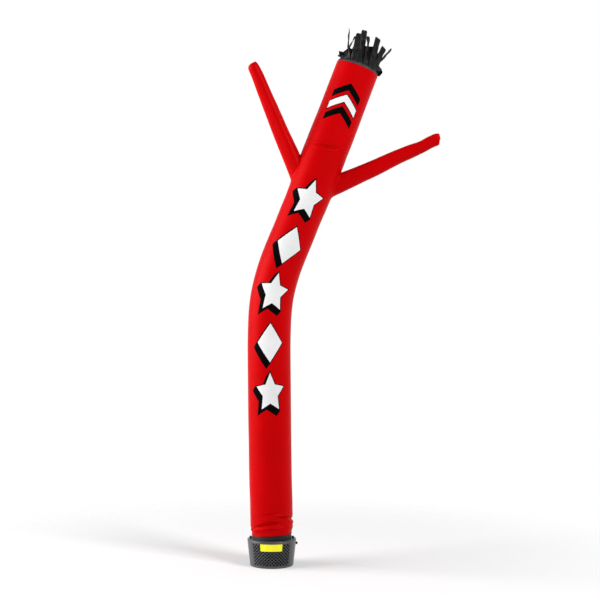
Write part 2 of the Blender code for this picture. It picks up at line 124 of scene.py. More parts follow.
# Each sleeve's middle line and radius, from inside the tube to its open tip: x, y, z, radius
LEFT_SLEEVE = [
    (0.322, 0.000, 4.106, 0.1010),
    (0.252, 0.000, 4.276, 0.0975),
    (0.178, -0.004, 4.450, 0.0930),
    (0.092, -0.010, 4.645, 0.0860),
    (0.014, -0.018, 4.836, 0.0800),
    (-0.066, -0.028, 5.030, 0.0730),
    (-0.144, -0.040, 5.222, 0.0660),
    (-0.190, -0.048, 5.322, 0.0610),
    (-0.213, -0.052, 5.371, 0.0520),
]
RIGHT_SLEEVE = [
    (0.539, 0.004, 4.010, 0.1040),
    (0.786, 0.004, 4.118, 0.0975),
    (0.974, -0.002, 4.199, 0.0905),
    (1.161, -0.012, 4.282, 0.0840),
    (1.330, -0.026, 4.362, 0.0770),
    (1.494, -0.042, 4.432, 0.0720),
    (1.600, -0.054, 4.478, 0.0690),
    (1.700, -0.066, 4.528, 0.0660),
    (1.770, -0.075, 4.555, 0.0640),
    (1.803, -0.080, 4.561, 0.0500),
]

# Folds of the foot: middle height, rise to the right, rise to the front, depth, half width,
# angle of the deepest place, how far round it reaches (degrees)
FOOT_FOLDS = [
    (0.447, 0.045, 0.030, 0.0090, 0.013, -20, 400),
    (0.414, 0.045, 0.030, -0.0055, 0.016, 0, 170),
    (0.508, 0.000, 0.035, 0.0060, 0.013, -45, 95),
    (0.408, 0.010, 0.012, 0.0035, 0.011, -95, 45),
    (0.520, -0.020, -0.015, 0.0045, 0.014, 120, 80),
]

# The fringe's strips, in order round the crown. Columns: length, and in degrees the lean outward at
# the root, the same at the tip, the lean along the crown and the turn about the strip's own length
OUTER_STRIPS = [
    (0.108, 12, 195, 0, 46),
    (0.345, -4, 20, 0, 12),
    (0.275, -3, 2, 0, 45),
    (0.215, 2, 8, 4, -15),
    (0.225, 0, 4, 3, 10),
    (0.210, 4, 10, 5, 25),
    (0.220, 0, 6, -3, 0),
    (0.200, 5, 14, 4, -25),
    (0.170, -20, -30, -4, 15),
    (0.150, -50, 95, 2, 30),
    (0.120, -62, 70, 0, 40),
    (0.165, -58, 104, 6, 34),
    (0.270, -8, -3, 4, 47),
    (0.345, 0, 2, -20.5, 64),
    (0.296, 2, 5, -7.5, -12),
    (0.348, 0, 3, -12, 4),
    (0.300, 2, 5, -17, -44),
    (0.322, 2, 5, -11, 26),
    (0.262, 3, 8, -4, 24),
    (0.150, -62, 112, -4, -40),
]
INNER_STRIPS = [
    (0.200, -9, -10, 4, 10),
    (0.215, -16, -24, -8, -25),
    (0.205, -8, -4, 8, 25),
    (0.185, -14, -20, -6, 0),
    (0.230, -9, -14, 9, 40),
    (0.200, -14, -18, -8, -20),
    (0.190, -14, -16, 6, 30),
    (0.165, -20, -24, -9, 0),
    (0.130, -20, -30, 4, 50),
    (0.125, -14, -20, 10, -25),
    (0.160, -14, -10, 6, 20),
    (0.235, -9, -12, 2, -14),
    (0.205, -14, -10, -2, 14),
    (0.222, -8, -14, -8, 30),
    (0.222, -12, -8, -4, -20),
    (0.205, -10, -16, -6, 15),
]
STRIP_SEGMENTS = 24         # mesh steps along a strip
STRIP_COLUMNS = 6           # and across it
STRIP_CRUMPLE = 0.015       # depth of its dents
# How the strips wander: amount, then noise scales from strip to strip and along a strip, offset
STRIP_SWAY = (9.0, 1.3, 2.2, 9.1)       # of the lean, in degrees
STRIP_DRIFT = (0.010, 2.9, 2.4, 5.3)    # along the crown
STRIP_WRING = (0.5, 1.9, 1.8, 7.1)      # of the turn, in radians
STRIP_WIDTH = (0.12, 1.0, 6.0, 2.0)     # of the width, as a share of it
STRIP_SLANT = (0.048, 4.7, 0.2, 0.9)    # of the cut end, from one side to the other
BAND_GATHER = 0.0095        # depth of the gathers at the band's top edge
BAND_ROOM = 0.001           # free of the head's cloth, more than in the CAD
BAND_ROOM_INNER = 0.0015    # and free of the outer band

# Sizes of the looks -------------------------------------------------------------------------------
FLAT_RADIUS = 0.230         # turns an angle round the tube into a width of flat cloth
SEAM_ANGLE = 90.0           # the tube's long seam runs down the back
FLAT_WIDTH = 2 * math.pi * FLAT_RADIUS
FRONT = math.pi * FLAT_RADIUS       # where the front line lies across the flat cloth
CLOTH_STEP = 0.018          # mesh rows of the plain cloth
FINE_STEP = 0.0035          # and of its folded or gathered places
FINE_FADE = 0.08            # over which the rows get wider apart
TUBE_COLUMNS = 96
OUTLINE_STEP = 0.008        # between points of a printed shape's edge
WELD = 1e-5                 # joins the two edges of a rolled sheet
WAVE_DEPTH = 0.0016         # soft waves that moving air leaves in the tube
FOLD_WANDER = 0.004         # how far the lines of the fine creases wander
SPINE_STEPS = 60            # points of a middle line between two rows of its table
# Patterns of smooth noise on the cloth: how fine they are round it, along it and in all
TUBE_WAVES = (0.75, 1.6, 1.4)
SEAM_PUCKERS = (5.5, 1.3, 1.6)
SLEEVE_STREAKS = (1.5, 1.9, 1.2)
SLEEVE_WAVES = (1.0, 7.0, 1.2)
ROOT_GATHERS = (3.2, 9.0, 1.5)
TIP_CRUMPLE = (2.1, 18.0, 1.3)

# The tuck at the neck seam and the slight ridge beside it: the degrees round the tube where each
# starts, over how many it grows, where it ends and over how many it fades
TUCK_ARC = (226, 46, 304, 18)
RIDGE_ARC = (290, 12, 350, 40)
TUCK_DEPTH = 0.0245
TUCK_DROP = 0.036           # how far its line lies under the seam at the left,
TUCK_DROP_ARC = (318, 56)   # where this starts and over how many degrees it grows
TUCK_REACH_BELOW = 0.006    # it is sharp below and soft above
TUCK_REACH_ABOVE = (0.016, 0.042)   # at its left and, past the next angles, at its right
TUCK_SOFT_ARC = (245, 38)
LIP_HEIGHT = 0.0045         # the cloth that stands out under the tuck
LIP_BELOW = 0.022
LIP_REACH = 0.016
RIDGE_HEIGHT = 0.0022
RIDGE_REACH = 0.010

# Fine creases of the foot, laid on the CAD's folds, with the same columns
FINE_FOLDS = [
    (0.365, 0.020, 0.0975, 0.034, 0.017, -88, 46),
    (0.3745, 0.024, 0.0975, 0.013, 0.010, -146, 62),
    (0.490, 0.000, 0.000, 0.012, 0.012, -92, 18),
    (0.447, 0.045, 0.030, -0.0075, 0.013, -38, 36),
    (0.360, 0.024, 0.100, -0.0035, 0.011, -80, 56),
    (0.4125, 0.0717, 0.0975, 0.015, 0.0085, -46, 66),
    (0.390, 0.0717, 0.0975, -0.0075, 0.0105, -60, 48),
    (0.446, 0.0717, 0.0975, -0.0035, 0.009, -74, 38),
    (0.531, 0.028, 0.040, 0.0105, 0.0095, -88, 36),
    (0.598, 0.010, 0.000, 0.0024, 0.008, -75, 26),
    (0.4364, 0.006, 0.000, 0.009, 0.007, -66, 28),
    (0.400, 0.004, 0.000, 0.013, 0.011, -90, 30),
    (0.333, 0.0085, 0.0135, -0.0055, 0.022, -90, 100),
    (0.452, 0.045, 0.030, 0.006, 0.007, 4, 44),
    (0.372, 0.006, 0.004, 0.004, 0.006, -145, 44),
    (0.382, -0.012, 0.010, 0.004, 0.007, 150, 60),
    (0.468, -0.030, -0.030, 0.009, 0.008, 95, 70),
    (0.430, 0.020, -0.030, 0.008, 0.007, 60, 60),
]

# The column of printed shapes on the body: kind, distance along the tube of its middle
BODY_PRINTS = [
    ("star", 1.545),
    ("lozenge", 2.075),
    ("star", 2.605),
    ("lozenge", 3.130),
    ("star", 3.655),
]
STAR_RADIUS = 0.160
STAR_WAIST = 0.52           # its inner corners, as a share of the radius
STAR_STRETCH = 1.34         # height over width
LOZENGE_HALF_WIDTH = 0.135
LOZENGE_HALF_HEIGHT = 0.206
PRINT_OUTLINE = 0.010       # the black line round each white shape
PRINT_SHADOW = (-0.040, -0.052)     # how far the black drop shadow falls: across, along
PRINT_SHIFT = (0.014, 0.018)        # sets a shape and its shadow on the front line together

# The three chevrons printed on the head: distance from the crown, half width, colour
HEAD_PRINTS = [
    (0.295, 0.158, "black"),
    (0.425, 0.158, "white"),
    (0.555, 0.158, "black"),
]
CHEVRON_RISE = 0.115
CHEVRON_THICKNESS = 0.080

SLEEVE_SIDES = 64
SLEEVE_ROWS = 130
ROOT_ROWS = 10              # of the fillet between a sleeve and the tube
ROOT_LIFT = 0.0004          # keeps the sleeve's seam on top of the tube's cloth
ROOT_GATHER_DEPTH = 0.0018
SLEEVE_WAVE_DEPTH = 0.0012
SLEEVE_FLAT_RADIUS = 0.085  # turns an angle round a sleeve into a width of flat cloth
TIP_CLOSES = 0.055          # how much of its radius a sleeve can lose at the tip
ARMHOLE_SIDES = 72
ARMHOLE_OVERLAP = 0.004     # of the sleeve's seam over the hole's edge

GUARD_COLUMNS = 22          # places for the guard's punched holes, more than in the CAD
GUARD_ROWS = 13             # every second place has a hole
GUARD_MARGIN = 0.006
GUARD_HOLE = 0.0196         # diameter
HOLE_SIDES = 16
GUARD_MESH = (50, 30)       # columns and rows of the plate's own mesh
HOLE_CLEAR = 0.002          # free of its points, round a hole's edge
PRINT_CLEAR = 0.0035        # the same on the cloth, round a printed edge

HOUSING_SIDES = 144
QUARTER_STEPS = 6           # of a rounded edge
WALL_STEPS = 8              # rows of the wall between the windows' lower and upper edges
COLLAR_FOOT = 0.004         # the small round between deck and collar
SHELL_WALL = 0.8 * WALL     # a little thinner than in the CAD
EDGE_BEVEL = 0.0012
BEVEL_FROM = 50.0           # degrees between two faces

STRAP_SIDES = 192
STRAP_ROWS = 10
STRAP_THICKNESS = 0.0025
STRAP_SET_BACK = 0.0030     # of its edges behind the hem's outer face
STRAP_CROWN = 0.0014        # how much its middle stands out
STRAP_WAVES = 0.0012

STITCH_PITCH = 0.0045
STITCH_LENGTH = 0.0030
STITCH_WIDTH = 0.0007
STITCH_LIFT = 0.0004        # how far a stitch's middle stands off the cloth
SEAM_LIFT = 0.0002          # keeps the stitches' ends on top of the cloth
SEAM_HALF = 0.004           # between the long seam and each of its two rows
RING_SIDES = 240            # points of a row of stitches round the tube
ROOT_SIDES = 120            # and round a sleeve's root

# Colours ------------------------------------------------------------------------------------------
RED = (0.480, 0.0003, 0.0013, 1.0)
PRINT_WHITE = (0.71, 0.71, 0.715, 1.0)
PRINT_BLACK = (0.0016, 0.0012, 0.0013, 1.0)
FRINGE_BLACK = (0.0030, 0.0031, 0.0034, 1.0)
# Painted sheen: the band is the same black cloth, given a grey colour for the light on it
BAND_SHEEN_GREY = (0.022, 0.024, 0.025, 1.0)
WEBBING_BLACK = (0.0085, 0.0095, 0.0100, 1.0)
HOUSING_GREY = (0.026, 0.029, 0.034, 1.0)
# Painted shade: the inner sides of the housing and guards are the same plastic and metal, made
# near-black so that the holes look dark
PAINTED_SHADE_BLACK = (0.0015, 0.0015, 0.0016, 1.0)
GRILLE_GREY = (0.040, 0.042, 0.046, 1.0)
PLATE_YELLOW = (0.90, 0.84, 0.010, 1.0)
KNOB_BLACK = (0.0020, 0.0020, 0.0022, 1.0)
RED_THREAD = (0.42, 0.0006, 0.0018, 1.0)
FLOOR_PALE = (0.72, 0.72, 0.725, 1.0)


# Shape helpers ------------------------------------------------------------------------------------
def smooth_step(value):
    """0 below 0, 1 above 1 and a smooth rise between them."""
    value = np.clip(value, 0.0, 1.0)
    return value * value * (3.0 - 2.0 * value)


def curve_through(line, positions):
    """Points of the smooth curve through the rows of a line; a position counts rows from 0."""
    rows = np.array(line, float)
    last = len(rows) - 1
    index = np.clip(positions.astype(int), 0, last - 1)
    share = (positions - index)[:, None]
    p0, p1 = rows[np.maximum(index - 1, 0)], rows[index]
    p2, p3 = rows[index + 1], rows[np.minimum(index + 2, last)]
    return 0.5 * (
        2 * p1
        + (p2 - p0) * share
        + (2 * p0 - 5 * p1 + 4 * p2 - p3) * share**2
        + (3 * p1 - p0 - 3 * p2 + p3) * share**3
    )


class Spine:
    """The middle line of a tube: centre, cross directions and radius at each distance along it."""

    def __init__(self, line):
        spans = len(line) - 1
        positions = np.linspace(0.0, spans, SPINE_STEPS * spans + 1)
        rows = curve_through(line, positions)
        self.centres, self.radii = rows[:, :3], rows[:, 3]
        steps = np.linalg.norm(np.diff(self.centres, axis=0), axis=1)
        self.lengths = np.concatenate([[0.0], np.cumsum(steps)])
        self.length = float(self.lengths[-1])
        tangents = np.gradient(self.centres, axis=0)
        self.tangents = tangents / np.linalg.norm(tangents, axis=1)[:, None]
        rights = np.cross((0.0, 1.0, 0.0), self.tangents)
        self.rights = rights / np.linalg.norm(rights, axis=1)[:, None]
        self.backs = np.cross(self.tangents, self.rights)

    def between(self, values, distance):
        """Values given for each point of the line, read at any distance along it."""
        if values.ndim == 1:
            return np.interp(distance, self.lengths, values)
        return np.stack([np.interp(distance, self.lengths, v) for v in values.T], axis=1)

    def height(self, distance):
        return np.interp(distance, self.lengths, self.centres[:, 2])

    def distance_at_height(self, height):
        return float(np.interp(height, self.centres[:, 2], self.lengths))

    def outward(self, angle, distance):
        """Direction away from the line at an angle round it."""
        across = np.cos(angle)[:, None] * self.between(self.rights, distance)
        return across + np.sin(angle)[:, None] * self.between(self.backs, distance)

    def surface(self, angle, distance, grow=0.0):
        """Points of a plain round wall about the line."""
        radius = self.between(self.radii, distance) + grow
        across = radius[:, None] * self.outward(angle, distance)
        return self.between(self.centres, distance) + across

    def nearest(self, points):
        """Distance along the line, angle and distance from the line, of each point."""
        apart = np.linalg.norm(points[:, None, :] - self.centres[None, ::4, :], axis=2)
        place = self.lengths[::4][apart.argmin(axis=1)]
        for _ in range(4):
            offset = points - self.between(self.centres, place)
            place = place + (offset * self.between(self.tangents, place)).sum(axis=1)
        offset = points - self.between(self.centres, place)
        across = (offset * self.between(self.rights, place)).sum(axis=1)
        behind = (offset * self.between(self.backs, place)).sum(axis=1)
        return place, np.arctan2(behind, across), np.hypot(across, behind)


TUBE = Spine(TUBE_LINE)
HEM_AT = TUBE.distance_at_height(HEM_HEIGHT)
NECK_AT = TUBE.distance_at_height(NECK_HEIGHT)
CROWN_AT = TUBE.distance_at_height(CROWN_HEIGHT)
# Gathers at the tube's seams: distance along it, how far they reach, depth, noise seed
GATHERS = [
    (NECK_AT, 0.035, 0.0006, 2),
    (HEM_AT, 0.030, 0.0010, 3),
    (CROWN_AT, 0.022, 0.0012, 4),
]
# Where the mesh rows are fine: distance along the tube, how far to each side
FINE_NEAR = [
    (HEM_AT, 0.26),
    (NECK_AT, 0.06),
    (CROWN_AT, 0.04),
]


def rough(points, scale, seed):
    """Smooth noise from about -1 to 1 at each point, with a second, finer octave in it."""
    shift = Vector((seed * 7.13, seed * 3.71, seed * 5.37))
    return np.array([noise.fractal(Vector(p) * scale + shift, 1.0, 2.0, 2) for p in points])


def round_noise(angle, scale, seed):
    """Smooth noise from -1 to 1 that depends only on the angle round the tube."""
    turns = np.linspace(0.0, 2 * math.pi, 241)
    values = [
        noise.noise(Vector((scale * math.cos(t), scale * math.sin(t), 5.7 * seed + 0.5)))
        for t in turns
    ]
    return np.interp(np.remainder(angle, 2 * math.pi), turns, values)


def turned_from(angle, degrees):
    """The angle from a place round the tube, between minus and plus half a turn."""
    return np.remainder(angle - math.radians(degrees) + math.pi, 2 * math.pi) - math.pi


def fold_depth(table, angle, height, wander=0.0):
    """How far a table of folds draws the foot in; wander makes their lines and depths uneven."""
    depth = np.zeros_like(height)
    for number, row in enumerate(table):
        middle, right, front, deep, half_width, deepest, reach = row
        line = middle + right * np.cos(angle) - front * np.sin(angle)
        away = np.abs(turned_from(angle, deepest))
        strength = smooth_step(1.0 - away / math.radians(reach))
        if wander:
            line = line + wander * round_noise(angle, 3.2, number)
            strength = strength * (1.0 + 0.7 * round_noise(angle, 4.0, number + 40))
        depth += deep * strength * np.exp(-(((height - line) / half_width) ** 2))
    return depth


def cloth_noise(angle, along, pattern, seed):
    """Noise read on a cylinder, so that it has no step where the angle starts again."""
    around, lengthwise, scale = pattern
    places = [around * np.cos(angle), around * np.sin(angle), lengthwise * along]
    return rough(np.stack(places, axis=1), scale, seed)


def puckers(angle, distance, seam, reach, deep, seed):
    """Small gathers that run away from a seam round the tube and fade out."""
    away = (distance - seam) / reach
    return deep * np.exp(-np.abs(away)) * cloth_noise(angle, away, SEAM_PUCKERS, seed)


def within_arc(turned, start, grows, end, fades):
    """1 inside an arc round the tube, 0 outside, with a smooth change at both ends."""
    return smooth_step((turned - start) / grows) * smooth_step((end - turned) / fades)


def neck_crease(angle, distance):
    """How far the neck seam's tuck draws the cloth in at the front, with a lip and a ridge."""
    turned = np.degrees(np.remainder(angle, 2 * math.pi))
    tuck = within_arc(turned, *TUCK_ARC)
    ridge = within_arc(turned, *RIDGE_ARC)
    start, grows = TUCK_DROP_ARC
    away = distance - NECK_AT + TUCK_DROP * smooth_step((start - turned) / grows)
    start, grows = TUCK_SOFT_ARC
    left, right = TUCK_REACH_ABOVE
    above = left + (right - left) * smooth_step((turned - start) / grows)
    reach = np.where(away > 0.0, above, TUCK_REACH_BELOW)
    crease = TUCK_DEPTH * tuck * np.exp(-((away / reach) ** 2))
    lip = LIP_HEIGHT * tuck * np.exp(-(((away + LIP_BELOW) / LIP_REACH) ** 2))
    return crease - lip - RIDGE_HEIGHT * ridge * np.exp(-((away / RIDGE_REACH) ** 2))


def tube_surface(angle, distance, grow=0.0):
    """Points of the red tube, with its hem, folds, seams and waves."""
    height = TUBE.height(distance)
    tilt = 1.0 - smooth_step((height - HEM_HEIGHT) / (HEM_LEVEL_AT - HEM_HEIGHT))
    rise = tilt * (HEM_RISE_RIGHT * np.cos(angle) - HEM_RISE_FRONT * np.sin(angle))
    widened = smooth_step((height - HEM_WIDENS_FROM) / (HEM_WIDENS_TO - HEM_WIDENS_FROM))
    radius = HEM_RADIUS + (TUBE.between(TUBE.radii, distance) - HEM_RADIUS) * widened
    radius -= fold_depth(FOOT_FOLDS, angle, height + rise)
    radius -= fold_depth(FINE_FOLDS, angle, height + rise, FOLD_WANDER)
    neck = NECK_DRAW_IN * np.exp(-(((height - NECK_HEIGHT) / NECK_REACH) ** 2))
    radius -= 0.5 * neck + neck_crease(angle, distance)
    calm = smooth_step((height - HEM_WIDENS_TO) / 0.2) * smooth_step((CROWN_AT - distance) / 0.1)
    radius += calm * WAVE_DEPTH * cloth_noise(angle, distance, TUBE_WAVES, 1)
    for seam, reach, deep, seed in GATHERS:
        radius += puckers(angle, distance, seam, reach, deep, seed)
    across = TUBE.outward(angle, distance) * (radius + grow)[:, None]
    points = TUBE.between(TUBE.centres, distance) + across
    points[:, 2] += rise
    return points


# Flat layouts -------------------------------------------------------------------------------------
def spread_rows(low, high):
    """Row places from low to high: fine near the seams and folds, wider apart elsewhere."""
    places = [low]
    while places[-1] < high:
        away = min(abs(places[-1] - place) - within for place, within in FINE_NEAR)
        share = float(smooth_step(np.array(away / FINE_FADE)))
        places.append(places[-1] + FINE_STEP + (CLOTH_STEP - FINE_STEP) * share)
    places = np.array(places)
    return low + (places - low) * (high - low) / (places[-1] - low)


def even_outline(corners):
    """The points along a closed outline, corner by corner, in short steps."""
    points = []
    for start, end in zip(corners, corners[1:] + corners[:1]):
        start, end = np.array(start), np.array(end)
        count = max(1, math.ceil(np.linalg.norm(end - start) / OUTLINE_STEP))
        points += [tuple(start + (end - start) * k / count) for k in range(count)]
    return points


def placed(corners, across, along):
    """The corners of an outline, moved."""
    return [(x + across, y + along) for x, y in corners]


def grown(corners, by):
    """The outline moved outwards by a distance, with its corners mitred."""
    here = np.array(corners)
    after = np.roll(here, -1, axis=0)
    turn = np.sign((here[:, 0] * after[:, 1] - after[:, 0] * here[:, 1]).sum())
    run = (after - here) / np.linalg.norm(after - here, axis=1)[:, None]
    leaving = turn * np.stack([run[:, 1], -run[:, 0]], axis=1)
    arriving = np.roll(leaving, 1, axis=0)
    mitre = leaving + arriving
    mitre /= np.maximum(0.35, (mitre * arriving).sum(axis=1))[:, None]
    return [tuple(point) for point in here + by * mitre]


def inside(corners, points):
    """Which points lie inside an outline."""
    found = np.zeros(len(points), bool)
    x, y = points[:, 0], points[:, 1]
    for (x0, y0), (x1, y1) in zip(corners, corners[1:] + corners[:1]):
        if y0 == y1:
            continue
        crosses = (y0 > y) != (y1 > y)
        found ^= crosses & (x < (x1 - x0) * (y - y0) / (y1 - y0) + x0)
    return found


class Region:
    """Part of a flat layout, with the name of its material or "hole", and its outlines."""

    def __init__(self, material, outlines, shadow=None):
        self.material = material
        self.outlines = outlines
        self.shadow = shadow

    def pieces(self):
        """The outlines whose union is the region; a shadow adds its swept sides."""
        found = list(self.outlines)
        for corners in self.outlines if self.shadow else ():
            moved = placed(corners, *self.shadow)
            found.append(moved)
            for k in range(len(corners)):
                found.append([corners[k - 1], corners[k], moved[k], moved[k - 1]])
        return found


def flat_mesh(columns, rows, regions, keep_clear):
    """Triangles of a flat layout whose edges follow every region's outline.

    Returns the points (across, along), the triangles and the number of each triangle's region, or
    -1 for the plain cloth. The last region that holds a triangle wins.
    """
    lines = [even_outline(piece) for region in regions for piece in region.pieces()]
    marks = np.array([p for line in lines for p in line]).reshape(-1, 2)
    border_x, border_y = (columns[0], columns[-1]), (rows[0], rows[-1])
    points = []
    for y in rows:
        near = marks[np.abs(marks[:, 1] - y) < keep_clear] if len(marks) else marks
        for x in columns:
            on_border = x in border_x or y in border_y
            if not on_border and len(near):
                if (((near - (x, y)) ** 2).sum(axis=1) < keep_clear**2).any():
                    continue
            points.append((x, y))
    index = {point: k for k, point in enumerate(points)}
    edges = []
    for y in border_y:
        edges += [(index[(a, y)], index[(b, y)]) for a, b in zip(columns, columns[1:])]
    for x in border_x:
        edges += [(index[(x, a)], index[(x, b)]) for a, b in zip(rows, rows[1:])]
    for line in lines:
        start = len(points)
        points += line
        edges += [(start + k, start + (k + 1) % len(line)) for k in range(len(line))]
    made = delaunay_2d_cdt([Vector(p) for p in points], edges, [], 0, 1e-6)
    flat = np.array([tuple(v) for v in made[0]])
    triangles = np.array([tuple(face) for face in made[2]])
    middles = flat[triangles].mean(axis=1)
    owners = np.full(len(triangles), -1)
    for number, region in enumerate(regions):
        for piece in region.pieces():
            owners[inside(piece, middles)] = number
    return flat, triangles, owners


# Scene helpers ------------------------------------------------------------------------------------
def add_object(name, mesh, materials):
    """Puts a mesh into the scene."""
    made = bpy.data.objects.new(name, mesh)
    bpy.context.scene.collection.objects.link(made)
    for material in materials:
        mesh.materials.append(material)
    return made


def add_piece(name, points, faces, materials, kinds=None, flat=None, thickness=0.0):
    """A smooth-shaded piece of the object.

    kinds holds each face's material number, and flat each point's place on the flat cloth, which
    becomes the UV layout in metres. Such a sheet is welded where its edges meet. A thickness grows
    inwards from the faces' outer side.
    """
    mesh = bpy.data.meshes.new(name)
    mesh.from_pydata([tuple(p) for p in points], [], [tuple(int(i) for i in f) for f in faces])
    if kinds is not None:
        mesh.polygons.foreach_set("material_index", np.array(kinds, np.int32))
    mesh.polygons.foreach_set("use_smooth", [True] * len(mesh.polygons))
    if flat is not None:
        layer = mesh.uv_layers.new(name="flat")
        corners = np.zeros(len(mesh.loops), np.int32)
        mesh.loops.foreach_get("vertex_index", corners)
        layer.data.foreach_set("uv", np.array(flat, np.float32)[corners].ravel())
        shape = bmesh.new()
        shape.from_mesh(mesh)
        bmesh.ops.remove_doubles(shape, verts=shape.verts, dist=WELD)
        shape.to_mesh(mesh)
        shape.free()
    mesh.update()
    piece = add_object(name, mesh, materials)
    if thickness:
        modifier = piece.modifiers.new("thickness", "SOLIDIFY")
        modifier.thickness = thickness
        modifier.offset = -1.0
    return piece


def grid_faces(rows, columns):
    """The quads of a grid of points, which are numbered along its rows."""
    count = columns + 1
    starts = [row * count + k for row in range(rows) for k in range(columns)]
    return [(start, start + 1, start + count + 1, start + count) for start in starts]


def face_outwards(piece):
    """Turns every face of a closed mesh to its outer side."""
    shape = bmesh.new()
    shape.from_mesh(piece.data)
    bmesh.ops.recalc_face_normals(shape, faces=shape.faces)
    shape.to_mesh(piece.data)
    shape.free()


# Materials ----------------------------------------------------------------------------------------
class Nodes:
    """Short ways to build a procedural material."""

    def __init__(self, name, colour, roughness, **sockets):
        self.material = bpy.data.materials.new(name)
        self.material.use_nodes = True
        self.tree = self.material.node_tree
        self.shader = self.tree.nodes["Principled BSDF"]
        self.shader.inputs["Base Color"].default_value = colour
        self.shader.inputs["Roughness"].default_value = roughness
        for socket, value in sockets.items():
            self.shader.inputs[socket.replace("_", " ")].default_value = value
        self.colour = colour
        self.coordinates = self.tree.nodes.new("ShaderNodeTexCoord")

    def add(self, kind, **settings):
        node = self.tree.nodes.new(kind)
        for key, value in settings.items():
            setattr(node, key, value)
        return node

    def link(self, source, target):
        self.tree.links.new(source, target)

    def noise(self, scale, detail=3.0, roughness=0.5):
        node = self.add("ShaderNodeTexNoise")
        node.inputs["Scale"].default_value = scale
        node.inputs["Detail"].default_value = detail
        node.inputs["Roughness"].default_value = roughness
        self.link(self.coordinates.outputs["Object"], node.inputs["Vector"])
        return node.outputs["Fac"]

    def waves(self, scale, axis, space="UV"):
        """Even ribs across an axis of the flat cloth, or of the object."""
        node = self.add("ShaderNodeTexWave", wave_type="BANDS", bands_direction=axis)
        node.inputs["Scale"].default_value = scale
        self.link(self.coordinates.outputs[space], node.inputs["Vector"])
        return node.outputs["Fac"]

    def weave(self, across=None, along=None):
        """Threads that cross, at the cloth's own scale unless another is given."""
        first = self.waves(across or WEAVE_PER_METRE, "X")
        return self.math("MULTIPLY", first, self.waves(along or WEAVE_PER_METRE, "Y"))

    def math(self, operation, first, second):
        node = self.add("ShaderNodeMath", operation=operation)
        for socket, value in zip(node.inputs, (first, second)):
            if isinstance(value, (int, float)):
                socket.default_value = value
            else:
                self.link(value, socket)
        return node.outputs[0]

    def mixed(self, first, second, share):
        """Two values as one, with this share of the second."""
        parts = self.math("MULTIPLY", first, 1.0 - share), self.math("MULTIPLY", second, share)
        return self.math("ADD", *parts)

    def ramp(self, source, stops):
        node = self.add("ShaderNodeValToRGB")
        elements = node.color_ramp.elements
        while len(elements) < len(stops):
            elements.new(0.5)
        for element, (place, colour) in zip(elements, stops):
            element.position = place
            element.color = colour
        self.link(source, node.inputs["Fac"])
        return node.outputs["Color"]

    def vary(self, source, dark, light):
        """The base colour between two brightnesses of itself."""
        shades = [tuple(c * k for c in self.colour[:3]) + (1.0,) for k in (dark, light)]
        colour = self.ramp(source, [(0.3, shades[0]), (0.7, shades[1])])
        self.link(colour, self.shader.inputs["Base Color"])

    def rough_between(self, source, low, high):
        node = self.add("ShaderNodeMapRange")
        node.inputs["To Min"].default_value = low
        node.inputs["To Max"].default_value = high
        self.link(source, node.inputs["Value"])
        self.link(node.outputs["Result"], self.shader.inputs["Roughness"])

    def bump(self, height, distance, strength, after=None):
        node = self.add("ShaderNodeBump")
        node.inputs["Distance"].default_value = distance
        node.inputs["Strength"].default_value = strength
        self.link(height, node.inputs["Height"])
        if after is not None:
            self.link(after, node.inputs["Normal"])
        return node.outputs["Normal"]

    def finish(self, normal):
        self.link(normal, self.shader.inputs["Normal"])
        return self.material


WEAVE_PER_METRE = 420.0     # wave texture scale of the single threads
RIPSTOP_PER_METRE = 62.0    # and of the thicker threads of the ripstop grid


def ripstop(name, colour, roughness, specular, sheen=0.0, metallic=0.0):
    """Thin coated nylon: fine weave, a grid of thicker threads, soft crumple and uneven dye."""
    n = Nodes(name, colour, roughness, Specular_IOR_Level=specular, Sheen_Weight=sheen)
    n.shader.inputs["Sheen Roughness"].default_value = 0.45
    n.shader.inputs["Sheen Tint"].default_value = colour
    n.shader.inputs["Metallic"].default_value = metallic
    across = n.math("POWER", n.waves(RIPSTOP_PER_METRE, "X"), 10.0)
    along = n.math("POWER", n.waves(RIPSTOP_PER_METRE, "Y"), 10.0)
    grid = n.math("MAXIMUM", across, along)
    threads = n.math("ADD", n.math("MULTIPLY", n.weave(), 0.35), grid)
    crumple = n.noise(9.0, detail=2.5)
    patches = n.noise(2.2, detail=2.0)
    n.vary(n.mixed(patches, crumple, 0.25), 0.93, 1.05)
    n.rough_between(crumple, roughness - 0.06, roughness + 0.06)
    soft = n.bump(crumple, 0.0022, 0.5)
    return n.finish(n.bump(threads, 0.00018, 0.6, after=soft))


def fringe_cloth(name, colour):
    """The fringe's black cloth: the same weave, much crumpled, with a painted highlight where the
    crumple stands out.
    """
    n = Nodes(name, colour, 0.38, Specular_IOR_Level=0.22)
    crumple = n.noise(26.0, detail=5.0)
    # Painted highlight: the colour is made paler on the crumple's raised places
    n.vary(crumple, 0.55, 1.9)
    n.rough_between(crumple, 0.34, 0.60)
    soft = n.bump(crumple, 0.006, 0.7)
    return n.finish(n.bump(n.weave(), 0.0002, 0.6, after=soft))


def thread(name, colour):
    """Sewing thread with a fine twist."""
    n = Nodes(name, colour, 0.6, Specular_IOR_Level=0.05)
    twist = n.waves(900.0, "DIAGONAL", space="Object")
    n.vary(n.noise(300.0, detail=1.0), 0.8, 1.1)
    return n.finish(n.bump(twist, 0.0002, 0.5))


def webbing(name, colour):
    """Woven strap: ribs along it, crossed by the weft."""
    n = Nodes(name, colour, 0.45, Sheen_Weight=0.02, Specular_IOR_Level=0.25)
    n.vary(n.noise(18.0, detail=4.0), 0.7, 1.35)
    n.rough_between(n.noise(60.0), 0.40, 0.62)
    return n.finish(n.bump(n.weave(across=230.0, along=150.0), 0.0007, 0.8))


